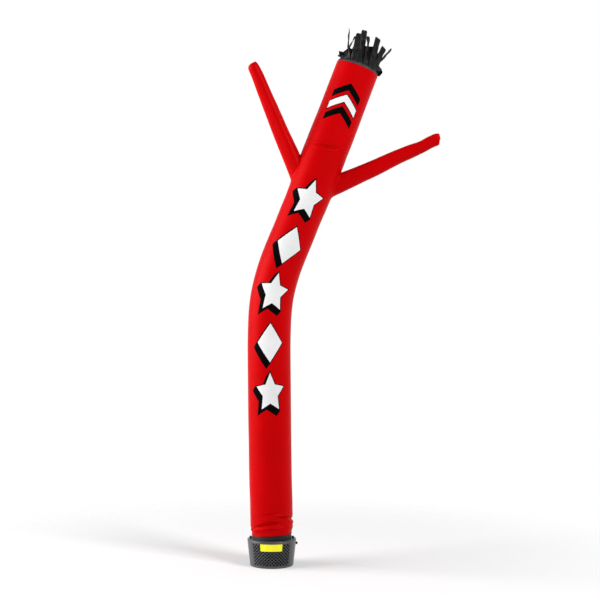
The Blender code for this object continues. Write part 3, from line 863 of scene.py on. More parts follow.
def moulded(name, colour, roughness, specular, sheen, grain=0.0006, scale=420.0):
    """Textured moulded plastic with faint scuffs, paler on the raised grain."""
    n = Nodes(name, colour, roughness, Specular_IOR_Level=specular, Sheen_Weight=sheen)
    n.shader.inputs["Sheen Roughness"].default_value = 0.35
    grains = n.noise(scale, detail=2.0)
    scuffs = n.noise(14.0, detail=6.0, roughness=0.65)
    n.vary(n.mixed(scuffs, grains, 0.2), 0.86, 1.14)
    n.rough_between(scuffs, roughness - 0.08, roughness + 0.10)
    return n.finish(n.bump(grains, grain, 0.5))


def coated_metal(name, colour):
    """Powder coat on a punched plate: fine orange peel."""
    n = Nodes(name, colour, 0.42, Specular_IOR_Level=0.40, Sheen_Weight=0.10)
    n.shader.inputs["Sheen Roughness"].default_value = 0.35
    peel = n.noise(700.0, detail=2.0)
    dust = n.noise(20.0, detail=5.0)
    n.vary(dust, 0.8, 1.2)
    n.rough_between(dust, 0.36, 0.52)
    return n.finish(n.bump(peel, 0.0003, 0.4))


def painted_plate(name, colour):
    """The bare yellow plate: satin ink on plastic, a little uneven."""
    n = Nodes(name, colour, 0.38, Specular_IOR_Level=0.4)
    n.vary(n.noise(30.0, detail=4.0), 0.94, 1.04)
    n.rough_between(n.noise(90.0), 0.32, 0.46)
    return n.finish(n.bump(n.noise(500.0), 0.0002, 0.4))


def make_materials():
    """Every material of the object, by the short names used below."""
    return {
        "red": ripstop("red_ripstop", RED, 0.40, 0.022, sheen=0.006, metallic=0.05),
        "white": ripstop("white_print", PRINT_WHITE, 0.62, 0.10),
        "black": ripstop("black_print", PRINT_BLACK, 0.62, 0.02),
        "red_thread": thread("red_thread", RED_THREAD),
        "fringe": fringe_cloth("black_ripstop", FRINGE_BLACK),
        # the band's grey is painted sheen on black cloth
        "band": fringe_cloth("gathered_band_painted_sheen", BAND_SHEEN_GREY),
        "webbing": webbing("black_webbing_weave", WEBBING_BLACK),
        "housing": moulded("grey_moulded_plastic", HOUSING_GREY, 0.38, 0.90, 0.20),
        # painted shade for the inner sides: a near-black copy of the moulded plastic
        "inside": moulded("painted_shade_inside", PAINTED_SHADE_BLACK, 0.80, 0.05, 0.0),
        "grille": coated_metal("black_punched_plate", GRILLE_GREY),
        "plate": painted_plate("yellow_plate", PLATE_YELLOW),
        "knob": moulded("black_moulded_plastic", KNOB_BLACK, 0.35, 0.12, 0.0, 0.0002, 300.0),
    }


# The red cloth ------------------------------------------------------------------------------------
def across_to_angle(across):
    """Angle round the tube of a place across the flat cloth, which starts at the back seam."""
    return math.radians(SEAM_ANGLE) + across / FLAT_RADIUS


def angle_to_across(angle):
    """The place across the flat cloth of an angle round the tube."""
    return np.remainder(angle - math.radians(SEAM_ANGLE), 2 * math.pi) * FLAT_RADIUS


def star():
    """Corners of a tall star with five points, round its middle."""
    corners = []
    for k in range(10):
        reach = STAR_RADIUS * (STAR_WAIST if k % 2 else 1.0)
        turn = math.pi / 2 + k * math.pi / 5
        corners.append((reach * math.cos(turn), reach * math.sin(turn) * STAR_STRETCH))
    return corners


def lozenge():
    """Corners of an upright lozenge, round its middle."""
    sides = ((1, 0), (0, 1), (-1, 0), (0, -1))
    return [(x * LOZENGE_HALF_WIDTH, y * LOZENGE_HALF_HEIGHT) for x, y in sides]


def chevron(half_width):
    """Corners of a bent bar that points to the crown, from the middle of its lower edge."""
    lower = [(-half_width, -CHEVRON_RISE), (0.0, 0.0), (half_width, -CHEVRON_RISE)]
    return lower + [(x, y + CHEVRON_THICKNESS) for x, y in lower[::-1]]


def body_prints():
    """White shapes with a black line and a black drop shadow, in a column down the front."""
    regions = []
    across, along = PRINT_SHIFT
    for kind, place in BODY_PRINTS:
        corners = star() if kind == "star" else lozenge()
        corners = placed(corners, FRONT + across, place + along)
        regions.append(Region("black", [grown(corners, PRINT_OUTLINE)], PRINT_SHADOW))
        regions.append(Region("white", [corners]))
    return regions


def head_prints():
    """The chevrons; the white one has a black line round it."""
    regions = []
    for from_crown, half_width, colour in HEAD_PRINTS:
        corners = placed(chevron(half_width), FRONT, CROWN_AT - from_crown)
        if colour == "white":
            regions.append(Region("black", [grown(corners, PRINT_OUTLINE)]))
        regions.append(Region(colour, [corners]))
    return regions


def sleeve_roots(sleeve, angles):
    """How far along a sleeve each of its length lines leaves the tube."""
    reach = np.linspace(0.0, 0.45 * sleeve.length, 300)
    starts = []
    for angle in angles:
        turned = np.full(len(reach), angle)
        place, round_at, apart = TUBE.nearest(sleeve.surface(turned, reach))
        wall = tube_surface(round_at, place) - TUBE.between(TUBE.centres, place)
        outside = apart - np.linalg.norm(wall, axis=1)
        last = int(np.nonzero(outside < 0)[0].max())
        share = outside[last] / (outside[last] - outside[last + 1])
        starts.append(reach[last] + share * (reach[last + 1] - reach[last]))
    return np.array(starts)


def sleeve_ring(sleeve, angles, fillet):
    """A sleeve's root and seam, on the tube's flat cloth.

    Returns how far along the sleeve each length line leaves the tube, where that is on the flat
    cloth, the seam round it and how far out the seam lies there.
    """
    starts = sleeve_roots(sleeve, angles)
    place, round_at, _ = TUBE.nearest(sleeve.surface(angles, starts))
    corner = np.stack([angle_to_across(round_at), place], axis=1)
    ahead, behind = np.roll(corner[:-1], -1, axis=0), np.roll(corner[:-1], 1, axis=0)
    run = ahead - behind
    run /= np.linalg.norm(run, axis=1)[:, None]
    normal = np.stack([run[:, 1], -run[:, 0]], axis=1)
    turn = np.sign(((corner[:-1] - corner[:-1].mean(axis=0)) * normal).sum())
    normal = np.vstack([normal, normal[:1]]) * turn
    size, extra, side = fillet
    wide = size + extra * smooth_step(0.5 + 0.5 * np.cos(angles - math.radians(side)))
    return starts, corner, corner + normal * wide[:, None], wide


def once_round(sides):
    """Angles once round, with the first one again at the end."""
    return np.linspace(0.0, 2 * math.pi, sides + 1)


def armhole(sleeve, look):
    """The hole for a sleeve on the flat cloth, under the sleeve's seam."""
    _, corner, seam, wide = sleeve_ring(sleeve, once_round(ARMHOLE_SIDES), look["fillet"])
    hole = corner + (seam - corner) * ((wide - ARMHOLE_OVERLAP) / wide)[:, None]
    return Region("hole", [[(float(x), float(y)) for x, y in hole[:-1]]])


def tube_piece(name, low, high, regions, materials):
    """One rolled piece of the red cloth, with the regions of its flat layout."""
    columns = [float(x) for x in np.linspace(0.0, FLAT_WIDTH, TUBE_COLUMNS + 1)]
    rows = [float(y) for y in spread_rows(low, high)]
    flat, triangles, owners = flat_mesh(columns, rows, regions, PRINT_CLEAR)
    names = ["red"] + sorted({r.material for r in regions if r.material != "hole"})
    slots = [names.index(r.material) if r.material != "hole" else -1 for r in regions]
    kinds = np.array([0 if owner < 0 else slots[owner] for owner in owners])
    triangles, kinds = triangles[kinds >= 0], kinds[kinds >= 0]
    points = tube_surface(across_to_angle(flat[:, 0]), flat[:, 1])
    finishes = [materials[n] for n in names]
    return add_piece(name, points, triangles, finishes, kinds, flat, CLOTH)


def sleeve_surface(sleeve, angle, distance, look):
    """Points of a sleeve: streaks and dents along it, gathers at its root, a rounded tip."""
    to_tip = sleeve.length - distance
    seed = look["seed"]
    grow = look["streaks"] * cloth_noise(angle, distance, SLEEVE_STREAKS, seed)
    grow += SLEEVE_WAVE_DEPTH * cloth_noise(angle, distance, SLEEVE_WAVES, seed + 3)
    near_root = np.exp(-distance / (0.14 * sleeve.length))
    grow += ROOT_GATHER_DEPTH * near_root * cloth_noise(angle, distance, ROOT_GATHERS, seed + 1)
    near_tip = np.exp(-to_tip / 0.05)
    grow += look["crumple"] * near_tip * cloth_noise(angle, distance, TIP_CRUMPLE, seed + 2)
    rounded = np.sqrt(1.0 - np.clip(1.0 - to_tip / look["rounding"], 0.0, 1.0) ** 2)
    from_sharp = 0.5 - 0.5 * np.cos(angle - math.radians(look["sharp"]))
    grow -= TIP_CLOSES * (0.15 + 0.5 * smooth_step(from_sharp)) * (1.0 - rounded)
    for place, reach, deepest, half_angle, deep in look["dents"]:
        away = np.abs(turned_from(angle, deepest)) / math.radians(half_angle)
        grow -= deep * np.exp(-(((distance - place) / reach) ** 2)) * smooth_step(1.0 - away)
    return sleeve.surface(angle, distance, grow)


def sleeve_rows(sleeve, angles, look, shares):
    """Rows of the fillet at shares from 0, the seam on the tube, to 1, and where it ends."""
    starts, corner, seam, wide = sleeve_ring(sleeve, angles, look["fillet"])
    first = tube_surface(across_to_angle(seam[:, 0]), seam[:, 1], ROOT_LIFT)
    middle = tube_surface(across_to_angle(corner[:, 0]), corner[:, 1], ROOT_LIFT)
    last = sleeve_surface(sleeve, angles, starts + wide, look)
    rows = [(1 - t) ** 2 * first + 2 * t * (1 - t) * middle + t * t * last for t in shares]
    return rows, starts + wide


def sleeve_piece(name, sleeve, look, materials):
    """A tapering sleeve that runs out of the tube in a fillet."""
    angles = once_round(SLEEVE_SIDES)
    shares = np.linspace(0.0, 1.0, ROOT_ROWS + 1)[:-1]
    points, starts = sleeve_rows(sleeve, angles, look, shares)
    end = np.full(len(angles), sleeve.length)
    for cut, side in look["trims"]:
        end -= cut * np.clip(np.cos(angles - math.radians(side)), 0.0, 1.0) ** 2
    distances = [starts - 0.003 * (ROOT_ROWS - k) for k in range(ROOT_ROWS)]
    for share in np.linspace(0.0, 1.0, SLEEVE_ROWS + 1):
        distance = starts + (end - starts) * share
        points.append(sleeve_surface(sleeve, angles, distance, look))
        distances.append(distance)
    across = np.tile(angles * SLEEVE_FLAT_RADIUS, len(points))
    flat = np.stack([across, np.concatenate(distances)], axis=1)
    faces = grid_faces(len(points) - 1, SLEEVE_SIDES)
    finishes = [materials["red"]]
    return add_piece(name, np.concatenate(points), faces, finishes, None, flat, CLOTH)


# Stitching ----------------------------------------------------------------------------------------
def stitch_row(path, normals):
    """Points and faces of one row of stitches along a path of points."""
    steps = np.linalg.norm(np.diff(path, axis=0), axis=1)
    lengths = np.concatenate([[0.0], np.cumsum(steps)])
    starts = np.arange(0.0, lengths[-1] - STITCH_LENGTH, STITCH_PITCH)

    def at(values, places):
        """Values given for each point of the path, read at any distance along it."""
        return np.stack([np.interp(places, lengths, v) for v in values.T], axis=1)

    points, faces = [], []
    normal = at(normals, starts + 0.5 * STITCH_LENGTH)
    ends = [at(path, starts + share * STITCH_LENGTH) for share in (0.0, 0.25, 0.75, 1.0)]
    heights = (0.0, STITCH_LIFT, STITCH_LIFT, 0.0)
    along = ends[3] - ends[0]
    along /= np.linalg.norm(along, axis=1)[:, None]
    side = np.cross(normal, along) * STITCH_WIDTH / 2
    for k in range(len(starts)):
        base = len(points)
        for end, height in zip(ends, heights):
            middle = end[k] + normal[k] * height
            points += [middle - side[k], middle + side[k], middle + normal[k] * STITCH_WIDTH / 2]
        for a in (base, base + 3, base + 6):
            faces += [(a, a + 3, a + 5, a + 2), (a + 1, a + 2, a + 5, a + 4)]
            faces.append((a, a + 1, a + 4, a + 3))
        faces += [(base, base + 2, base + 1), (base + 9, base + 10, base + 11)]
    return points, faces


def stitching(name, rows, material):
    """Several rows of stitches as one piece."""
    points, faces = [], []
    for path, normals in rows:
        more_points, more_faces = stitch_row(path, normals)
        faces += [tuple(i + len(points) for i in face) for face in more_faces]
        points += more_points
    piece = add_piece(name, points, faces, [material])
    face_outwards(piece)
    return piece


def ring_row(distance):
    """A stitch path once round the tube."""
    angle = once_round(RING_SIDES)
    along = np.full(len(angle), distance)
    return tube_surface(angle, along, SEAM_LIFT), TUBE.outward(angle, along)


def back_row(low, high, offset):
    """A stitch path up the back, beside the long seam."""
    along = np.arange(low, high, 0.01)
    angle = np.full(len(along), math.radians(SEAM_ANGLE) + offset / FLAT_RADIUS)
    return tube_surface(angle, along, SEAM_LIFT), TUBE.outward(angle, along)


def sleeve_row(sleeve, look):
    """A stitch path round a sleeve, just outside its seam on the tube."""
    rows, _ = sleeve_rows(sleeve, once_round(ROOT_SIDES), look, [0.2])
    place, round_at, _ = TUBE.nearest(rows[0])
    return rows[0], TUBE.outward(round_at, place)


# The black fringe ---------------------------------------------------------------------------------
def wander(pattern, seed, share):
    """How far a strip wanders at a share of its length."""
    amount, per_strip, per_length, offset = pattern
    return amount * noise.noise(Vector((seed * per_strip, share * per_length, offset)))


def strip_rows(root, sideways, outward, upward, row, width, seed):
    """Rows of points up one crumpled strip of the fringe."""
    length, lean_root, lean_tip, lean_side, turn = row
    turned = math.radians(lean_side)
    along_crown = sideways * math.cos(turned) - upward * math.sin(turned)
    rise = upward * math.cos(turned) + sideways * math.sin(turned)
    point = root.copy()
    rows = []
    step = length / STRIP_SEGMENTS
    slant = wander(STRIP_SLANT, seed, 1.0)
    for k in range(STRIP_SEGMENTS):
        share = (k + 0.5) / STRIP_SEGMENTS
        bent = float(smooth_step((share - 0.2) / 0.5))
        lean = lean_root + (lean_tip - lean_root) * bent + share * wander(STRIP_SWAY, seed, share)
        lean = math.radians(lean)
        point = point + step * (rise * math.cos(lean) + outward * math.sin(lean))
        facing = outward * math.cos(lean) - rise * math.sin(lean)
        drift = share * wander(STRIP_DRIFT, seed, share)
        twist = math.radians(turn) * smooth_step(share * 2.5)
        twist += share * wander(STRIP_WRING, seed, share)
        side = along_crown * math.cos(twist) + facing * math.sin(twist)
        front = facing * math.cos(twist) - along_crown * math.sin(twist)
        breadth = width * (1.06 + wander(STRIP_WIDTH, seed, share))
        breadth *= 1.0 - 0.45 * max(0.0, (share - 0.92) / 0.08) ** 2
        points = []
        for j in range(STRIP_COLUMNS + 1):
            across = j / STRIP_COLUMNS - 0.5
            place = Vector((seed * 3.1 + across * 3.4, share * length * 16.0, 0.7))
            dent = STRIP_CRUMPLE * noise.noise(place) * min(1.0, 3.0 * share)
            end = slant * across * share**4
            middle = point + along_crown * drift
            points.append(middle + side * (across * breadth) + front * dent + rise * end)
        rows.append(points)
    return rows


class CutSheet:
    """Points and faces of one cut cloth, with each point's place on the flat cloth."""

    def __init__(self):
        self.points, self.places, self.faces, self.kinds = [], [], [], []

    def add(self, point, across, along):
        """Adds a point and returns its number."""
        self.points.append(point)
        self.places.append((across, along))
        return len(self.points) - 1

    def join(self, lower, upper, kind):
        """Quads of one material between two rows of point numbers."""
        for a, b, c, d in zip(lower, lower[1:], upper[1:], upper):
            self.faces.append((a, b, c, d))
            self.kinds.append(kind)


def fringe(name, outer_radius, strips, seed, materials):
    """A gathered band inside the head's edge with its strips, one cut sheet."""
    end = np.array([TUBE.length])
    centre = Vector(TUBE.between(TUBE.centres, end)[0])
    right = Vector(TUBE.between(TUBE.rights, end)[0])
    back = Vector(TUBE.between(TUBE.backs, end)[0])
    upward = Vector(TUBE.between(TUBE.tangents, end)[0])
    step = 2 * math.pi / len(strips)
    half = 0.5 * HAIR_SHARE * step
    around = []
    for k in range(len(strips)):
        around += [k * step + half * (2 * j / STRIP_COLUMNS - 1) for j in range(STRIP_COLUMNS + 1)]
    around.append(around[0] + 2 * math.pi)
    cloth = CutSheet()
    rows = []
    for rise, draw in HAIR_LEVELS:
        row = []
        for angle in around:
            place = Vector((14 * math.cos(angle), 14 * math.sin(angle), seed + 20 * rise))
            gather = BAND_GATHER * noise.noise(place) * smooth_step(rise / HAIR_BAND_HIGH)
            outward = right * math.cos(angle) + back * math.sin(angle)
            point = centre + upward * rise + outward * (outer_radius - draw + gather)
            row.append(cloth.add(point, angle * outer_radius, rise))
        rows.append(row)
    for lower, upper in zip(rows, rows[1:]):
        cloth.join(lower, upper, 1)
    count = STRIP_COLUMNS + 1
    for k, values in enumerate(strips):
        lower = rows[-1][count * k : count * (k + 1)]
        first, last = cloth.points[lower[0]], cloth.points[lower[-1]]
        sideways = (last - first).normalized()
        outward = sideways.cross(upward)
        width = (last - first).length
        root = 0.5 * (first + last)
        made = strip_rows(root, sideways, outward, upward, values, width, seed + k)
        for number, points in enumerate(made):
            along = HAIR_BAND_HIGH + values[0] * (number + 1) / STRIP_SEGMENTS
            upper = []
            for j, point in enumerate(points):
                across = k * step * outer_radius + (j / STRIP_COLUMNS - 0.5) * width
                upper.append(cloth.add(point, across, along))
            cloth.join(lower, upper, 0)
            lower = upper
    finishes = [materials["fringe"], materials["band"]]
    return add_piece(
        name, cloth.points, cloth.faces, finishes, cloth.kinds, cloth.places, HAIR_THICKNESS
    )


# The blower ---------------------------------------------------------------------------------------
def wall_radius(height):
    """The housing's outer radius, which grows evenly up the wall."""
    share = (height - EDGE_ROUND) / (BLOWER_HEIGHT - 2 * EDGE_ROUND)
    return BASE_RADIUS + (RIM_RADIUS - BASE_RADIUS) * share


def quarter(middle_x, middle_z, start):
    """A quarter of a circle, for a rounded edge."""
    turns = [math.radians(start + 90.0 * k / QUARTER_STEPS) for k in range(QUARTER_STEPS + 1)]
    corners = [(EDGE_ROUND * math.cos(turn), EDGE_ROUND * math.sin(turn)) for turn in turns]
    return placed(corners, middle_x, middle_z)


def housing_outline():
    """The housing's outer face as radius and height: underside, wall, deck and collar."""
    window = WINDOW_HIGH - WINDOW_LOW
    heights = [WINDOW_LOW + window * k / WALL_STEPS for k in range(WALL_STEPS + 1)]
    outline = [(0.02, 0.0), (0.5 * BASE_RADIUS, 0.0)]
    outline += quarter(BASE_RADIUS - EDGE_ROUND, EDGE_ROUND, -90.0)
    outline += [(wall_radius(h), h) for h in heights]
    outline += quarter(RIM_RADIUS - EDGE_ROUND, BLOWER_HEIGHT - EDGE_ROUND, 0.0)
    outline += [
        (COLLAR_RADIUS + COLLAR_FOOT, BLOWER_HEIGHT),
        (COLLAR_RADIUS + 0.25 * COLLAR_FOOT, BLOWER_HEIGHT + 0.25 * COLLAR_FOOT),
        (COLLAR_RADIUS, BLOWER_HEIGHT + COLLAR_FOOT),
        (COLLAR_RADIUS, BLOWER_HEIGHT + COLLAR_HEIGHT),
    ]
    return outline


def housing(materials):
    """The moulded bucket with its deck and collar, one wall thick, open at its two windows."""
    sides = HOUSING_SIDES
    outline = housing_outline()
    turns = [2 * math.pi * k / sides for k in range(sides)]
    points = [(x * math.cos(t), x * math.sin(t), z) for x, z in outline for t in turns]
    faces = [tuple(range(sides))[::-1]]
    for row in range(len(outline) - 1):
        height = 0.5 * (outline[row][1] + outline[row + 1][1])
        for k in range(sides):
            from_window = abs(180.0 * (2 * k + 1) / sides % 180.0 - 90.0)
            if WINDOW_LOW < height < WINDOW_HIGH and from_window < WINDOW_HALF_ANGLE:
                continue
            a, b = row * sides + k, row * sides + (k + 1) % sides
            faces.append((a, b, b + sides, a + sides))
    finishes = [materials["housing"], materials["inside"]]
    piece = add_piece("housing_shell", points, faces, finishes, thickness=SHELL_WALL)
    # The wall's inner side gets the painted shade, near-black
    piece.modifiers["thickness"].material_offset = 1
    bevel = piece.modifiers.new("edges", "BEVEL")
    bevel.width = EDGE_BEVEL
    bevel.segments = 2
    bevel.limit_method = "ANGLE"
    bevel.angle_limit = math.radians(BEVEL_FROM)
    return piece


def grille(name, middle_angle, shade_layer_behind, materials):
    """A punched guard: a curved plate with staggered round holes.

    There can be a closed dark layer behind the holes: painted shade that makes them look dark.
    """
    reach = math.radians(WINDOW_HALF_ANGLE) - GAP / BASE_RADIUS
    low, high = WINDOW_LOW + GAP, WINDOW_HIGH - GAP
    wide = 2 * reach * BASE_RADIUS
    cell_width = (wide - 2 * GUARD_MARGIN) / GUARD_COLUMNS
    cell_height = (high - low - 2 * GUARD_MARGIN) / GUARD_ROWS
    turns = [2 * math.pi * k / HOLE_SIDES for k in range(HOLE_SIDES)]
    hole = [(GUARD_HOLE / 2 * math.cos(t), GUARD_HOLE / 2 * math.sin(t)) for t in turns]
    holes = []
    for column in range(GUARD_COLUMNS):
        for row in range(column % 2, GUARD_ROWS, 2):
            across = GUARD_MARGIN + (column + 0.5) * cell_width
            holes.append(placed(hole, across, low + GUARD_MARGIN + (row + 0.5) * cell_height))
    columns = [float(v) for v in np.linspace(0.0, wide, GUARD_MESH[0] + 1)]
    rows = [float(v) for v in np.linspace(low, high, GUARD_MESH[1] + 1)]
    flat, triangles, owners = flat_mesh(columns, rows, [Region("hole", holes)], HOLE_CLEAR)
    angle = math.radians(middle_angle) - reach + flat[:, 0] / BASE_RADIUS

    def layer(kept, set_back):
        """Points and faces of the kept triangles, rolled onto the wall."""
        radius = wall_radius(flat[:, 1]) - set_back
        points = np.stack([radius * np.cos(angle), radius * np.sin(angle), flat[:, 1]], axis=1)
        used = np.unique(kept)
        renumber = np.full(len(points), -1)
        renumber[used] = np.arange(len(used))
        return points[used], renumber[kept]

    points, faces = layer(triangles[owners < 0], GRILLE_SET_BACK)
    kinds = [0] * len(faces)
    # The closed layer behind the holes takes the painted shade
    if shade_layer_behind:
        more_points, more_faces = layer(triangles, GRILLE_SET_BACK + 2 * GRILLE_THICKNESS)
        faces = np.concatenate([faces, more_faces + len(points)])
        points = np.concatenate([points, more_points])
        kinds += [1] * len(more_faces)
    finishes = [materials["grille"], materials["inside"]]
    piece = add_piece(name, points, faces, finishes, kinds, thickness=GRILLE_THICKNESS)
    # The plate's back and the walls of its holes get the painted shade
    piece.modifiers["thickness"].material_offset = 1
    piece.modifiers["thickness"].material_offset_rim = 1
    return piece


def strap(materials):
    """The woven strap that closes the foot round the collar, a little slack and uneven."""
    points, flat = [], []
    angle = once_round(STRAP_SIDES)
    hem = tube_surface(angle, np.full(len(angle), HEM_AT))[:, 2] - GAP
    low = BLOWER_HEIGHT + GAP
    outer = HEM_RADIUS - 0.5 * CLOTH
    for row in range(STRAP_ROWS + 1):
        share = row / STRAP_ROWS
        crown = STRAP_CROWN * math.exp(-(((share - 0.5) / 0.47) ** 8))
        for turn, top in zip(angle, hem):
            height = low + (top - low) * share
            wave = noise.noise(Vector((3.0 * math.cos(turn), 3.0 * math.sin(turn), 4.0 * share)))
            radius = outer - STRAP_SET_BACK + STRAP_WAVES * wave + crown
            points.append((radius * math.cos(turn), radius * math.sin(turn), height))
            flat.append((turn * outer, height))
    faces = grid_faces(STRAP_ROWS, STRAP_SIDES)
    finishes = [materials["webbing"]]
    return add_piece("strap_webbing", points, faces, finishes, None, flat, STRAP_THICKNESS)


# Stage --------------------------------------------------------------------------------------------
PHOTO_CENTRE_X = 0.3026     # what the middle of the photograph looks at
PHOTO_CENTRE_Z = 2.84
CAMERA_DISTANCE = 14.0
LENS = 78.28
SENSOR = 36.0

# The two soft boxes: name, azimuth in degrees (0 at the viewer, positive to the right), distance,
# height, width and height of the box, power
SOFT_BOXES = [
    ("left_soft_box", -84.0, 18.0, 7.6, (15.0, 11.0), 4600.0),
    ("right_soft_box", 46.0, 16.0, 15.3, (6.5, 6.5), 2900.0),
]
LIGHT_AIM = (0.3, 0.0, 2.8)

FLOOR_RADIUS = 12.0
FLOOR_LEVEL = -0.0005
FLOOR_GLOW = 0.15
FLOOR_FADE = (2.0, 5.0)     # from the blower, where the floor starts and ends to vanish

WORLD_TOP = 0.32            # brightness of the studio overhead, against 1 behind the object
WORLD_FRONT = 0.44          # and of its dimmer half, on the viewer's side
WORLD_FRONT_BELOW = 1.10    # the same, below


def camera():
    """The photograph's camera, level, at the height of its middle."""
    data = bpy.data.cameras.new("camera")
    data.lens = LENS
    data.sensor_width = SENSOR
    data.clip_end = 200.0
    made = bpy.data.objects.new("camera", data)
    made.location = (PHOTO_CENTRE_X, -CAMERA_DISTANCE, PHOTO_CENTRE_Z)
    made.rotation_euler = (math.radians(90.0), 0.0, 0.0)
    bpy.context.scene.collection.objects.link(made)
    bpy.context.scene.camera = made


def soft_light(name, azimuth, distance, height, size, power):
    """One soft box, turned to the middle of the object."""
    data = bpy.data.lights.new(name, "AREA")
    data.shape = "RECTANGLE"
    data.size, data.size_y = size
    data.energy = power
    made = bpy.data.objects.new(name, data)
    turn = math.radians(azimuth)
    across, towards = distance * math.sin(turn), distance * math.cos(turn)
    made.location = (LIGHT_AIM[0] + across, LIGHT_AIM[1] - towards, height)
    beam = Vector(LIGHT_AIM) - made.location
    made.rotation_euler = beam.to_track_quat("-Z", "Y").to_euler()
    made.visible_camera = False
    bpy.context.scene.collection.objects.link(made)


def change(tree, value, first, last, low, high):
    """A smooth change from low, which may be a socket, to high while value runs first to last."""
    node = tree.nodes.new("ShaderNodeMapRange")
    node.interpolation_type = "SMOOTHSTEP"
    node.inputs["From Min"].default_value = first
    node.inputs["From Max"].default_value = last
    node.inputs["To Max"].default_value = high
    if isinstance(low, float):
        node.inputs["To Min"].default_value = low
    else:
        tree.links.new(low, node.inputs["To Min"])
    tree.links.new(value, node.inputs["Value"])
    return node.outputs["Result"]


def floor_material():
    """Pale and matt near the blower, and nothing further out."""
    n = Nodes("pale_floor", FLOOR_PALE, 0.9, Specular_IOR_Level=0.0)
    n.shader.inputs["Emission Color"].default_value = (1.0, 1.0, 1.0, 1.0)
    n.shader.inputs["Emission Strength"].default_value = FLOOR_GLOW
    far = n.add("ShaderNodeVectorMath", operation="LENGTH")
    n.link(n.coordinates.outputs["Object"], far.inputs[0])
    mix = n.add("ShaderNodeMixShader")
    n.link(change(n.tree, far.outputs["Value"], *FLOOR_FADE, 0.0, 1.0), mix.inputs["Fac"])
    n.link(n.shader.outputs["BSDF"], mix.inputs[1])
    n.link(n.add("ShaderNodeBsdfTransparent").outputs["BSDF"], mix.inputs[2])
    n.link(mix.outputs["Shader"], n.tree.nodes["Material Output"].inputs["Surface"])
    return n.material


def floor():
    """A round floor that fades into the background."""
    shape = bmesh.new()
    bmesh.ops.create_circle(shape, cap_ends=True, segments=64, radius=FLOOR_RADIUS)
    bmesh.ops.translate(shape, verts=shape.verts, vec=(0.0, 0.0, FLOOR_LEVEL))
    mesh = bpy.data.meshes.new("floor")
    shape.to_mesh(mesh)
    shape.free()
    add_object("floor", mesh, [floor_material()])


def world():
    """White behind the object and below, darker overhead and on the viewer's side."""
    made = bpy.data.worlds.new("studio")
    made.use_nodes = True
    tree = made.node_tree
    place = tree.nodes.new("ShaderNodeTexCoord")
    split = tree.nodes.new("ShaderNodeSeparateXYZ")
    tree.links.new(place.outputs["Generated"], split.inputs["Vector"])
    up, back = split.outputs["Z"], split.outputs["Y"]
    front = change(tree, up, -0.40, 0.05, WORLD_FRONT_BELOW, WORLD_FRONT)
    product = tree.nodes.new("ShaderNodeMath")
    product.operation = "MULTIPLY"
    tree.links.new(change(tree, up, 0.28, 0.60, 1.0, WORLD_TOP), product.inputs[0])
    tree.links.new(change(tree, back, -0.70, 0.10, front, 1.0), product.inputs[1])
    tree.links.new(product.outputs["Value"], tree.nodes["Background"].inputs["Color"])
    bpy.context.scene.world = made


def stage():
    """Camera, surroundings and lights."""
    camera()
    world()
    floor()
    for values in SOFT_BOXES:
        soft_light(*values)
    view = bpy.context.scene.view_settings
    view.view_transform = "Standard"
    view.look = "None"


# Putting it together ------------------------------------------------------------------------------
# How each sleeve looks. streaks and crumple are depths, along it and at its tip. rounding is the
# length of its rounded end, which closes least at the angle sharp.
# Trims cut the tip back: how much, at which angle.
# Dents: distance along the sleeve, reach along it, deepest angle, half angle, depth (less than 0
# for a ridge).
# The fillet at the root: its width, how much wider it is at one side, and that side's angle.
SLEEVES = {
    "left_sleeve": (Spine(LEFT_SLEEVE), {
        "seed": 11,
        "streaks": 0.0015,
        "crumple": 0.0015,
        "rounding": 0.045,
        "sharp": 20,
        "trims": [],
        "dents": [
            (0.66, 0.42, 298, 48, -0.0090),
            (0.66, 0.46, 242, 46, 0.0080),
        ],
        "fillet": (0.012, 0.014, 180),
    }),
    "right_sleeve": (Spine(RIGHT_SLEEVE), {
        "seed": 21,
        "streaks": 0.0035,
        "crumple": 0.0090,
        "rounding": 0.012,
        "sharp": 180,
        "trims": [(0.040, 0), (0.010, 90), (0.010, 180)],
        "dents": [
            (0.78, 0.28, 266, 40, 0.0180),
            (0.36, 0.17, 264, 40, 0.0150),
            (1.16, 0.07, 180, 90, 0.0080),
            (1.30, 0.03, 290, 60, 0.0060),
        ],
        "fillet": (0.014, 0.026, 0),
    }),
}

# The stitching's rings round the tube, beside the neck seam, above the hem and under the crown
RINGS = [NECK_AT - 0.006, NECK_AT + 0.006, HEM_AT + 0.008, HEM_AT + 0.024, CROWN_AT - 0.010]


def add_to_root(piece, slot, *nodes):
    """Lets a piece ride on the only body and hides the CAD nodes it stands for; slot is not used.
    """
    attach(piece, "root")
    if nodes:
        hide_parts(*nodes)


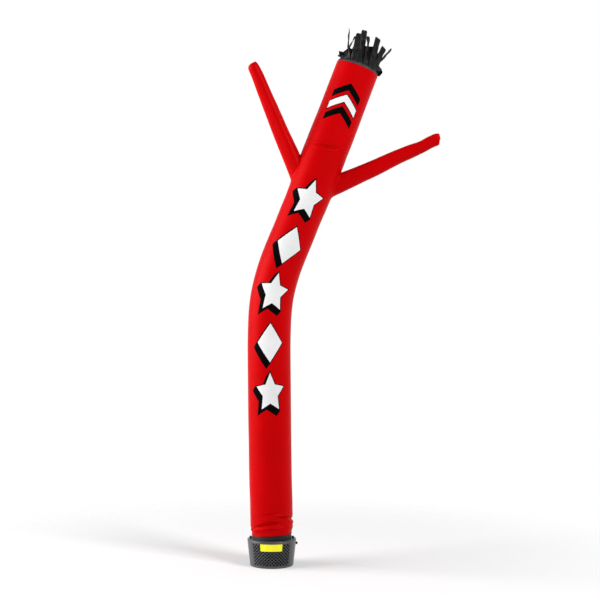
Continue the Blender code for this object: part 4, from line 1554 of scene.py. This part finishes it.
def red_cloth(materials):
    """Body, head, sleeves and their stitching."""
    armholes = [armhole(sleeve, look) for sleeve, look in SLEEVES.values()]
    body = tube_piece("body_cloth", HEM_AT, NECK_AT, body_prints() + armholes, materials)
    add_to_root(body, "red_cloth", "body_tube")
    head = tube_piece("head_cloth", NECK_AT, CROWN_AT, head_prints(), materials)
    add_to_root(head, "red_cloth", "head_tube")
    arms = []
    for node, (sleeve, look) in SLEEVES.items():
        arms.append(sleeve_piece(node + "_cloth", sleeve, look, materials))
        add_to_root(arms[-1], "red_cloth", node)

    rows = [ring_row(distance) for distance in RINGS]
    rows += [back_row(HEM_AT + 0.01, CROWN_AT - 0.01, side) for side in (-SEAM_HALF, SEAM_HALF)]
    rows += [sleeve_row(sleeve, look) for sleeve, look in SLEEVES.values()]
    threads = stitching("red_stitching", rows, materials["red_thread"])
    add_to_root(threads, "red_cloth")


def black_fringe(materials):
    """The two rows of strips, each one cut cloth with its band."""
    crown_radius = TUBE_LINE[-1][3]
    outer = (crown_radius - CLOTH) * math.cos(math.pi / TUBE_SIDES) - GAP - BAND_ROOM
    chord = math.cos(0.5 * HAIR_SHARE * 2 * math.pi / len(OUTER_STRIPS))
    inner = (outer - HAIR_THICKNESS) * chord - GAP - BAND_ROOM_INNER
    for node, radius, strips, seed in (
        ("hair_outer", outer, OUTER_STRIPS, 31),
        ("hair_inner", inner, INNER_STRIPS, 71),
    ):
        piece = fringe(node + "_strips", radius, strips, seed, materials)
        add_to_root(piece, "black_cloth", node)


def blower(materials):
    """Housing, guards and strap, and the finishes of the CAD pieces that stay."""
    add_to_root(housing(materials), "housing_plastic", "blower_housing")
    front = grille("front_guard", -90.0, False, materials)
    add_to_root(front, "grille_metal", "front_grille")
    # the back guard gets a closed layer of painted shade behind its holes
    back = grille("back_guard", 90.0, True, materials)
    add_to_root(back, "grille_metal", "back_grille")
    webbing_piece = strap(materials)
    add_to_root(webbing_piece, "black_webbing", "base_strap")
    frame["nodes"]["label_plate"].material_slots[0].material = materials["plate"]
    for node in ("deck_knob_left", "deck_knob_right", "side_knob"):
        frame["nodes"][node].material_slots[0].material = materials["knob"]


def main():
    """Builds the looks in the order that keeps every run the same."""
    materials = make_materials()
    stage()
    red_cloth(materials)
    black_fringe(materials)
    blower(materials)


main()
bpy.context.view_layer.update()
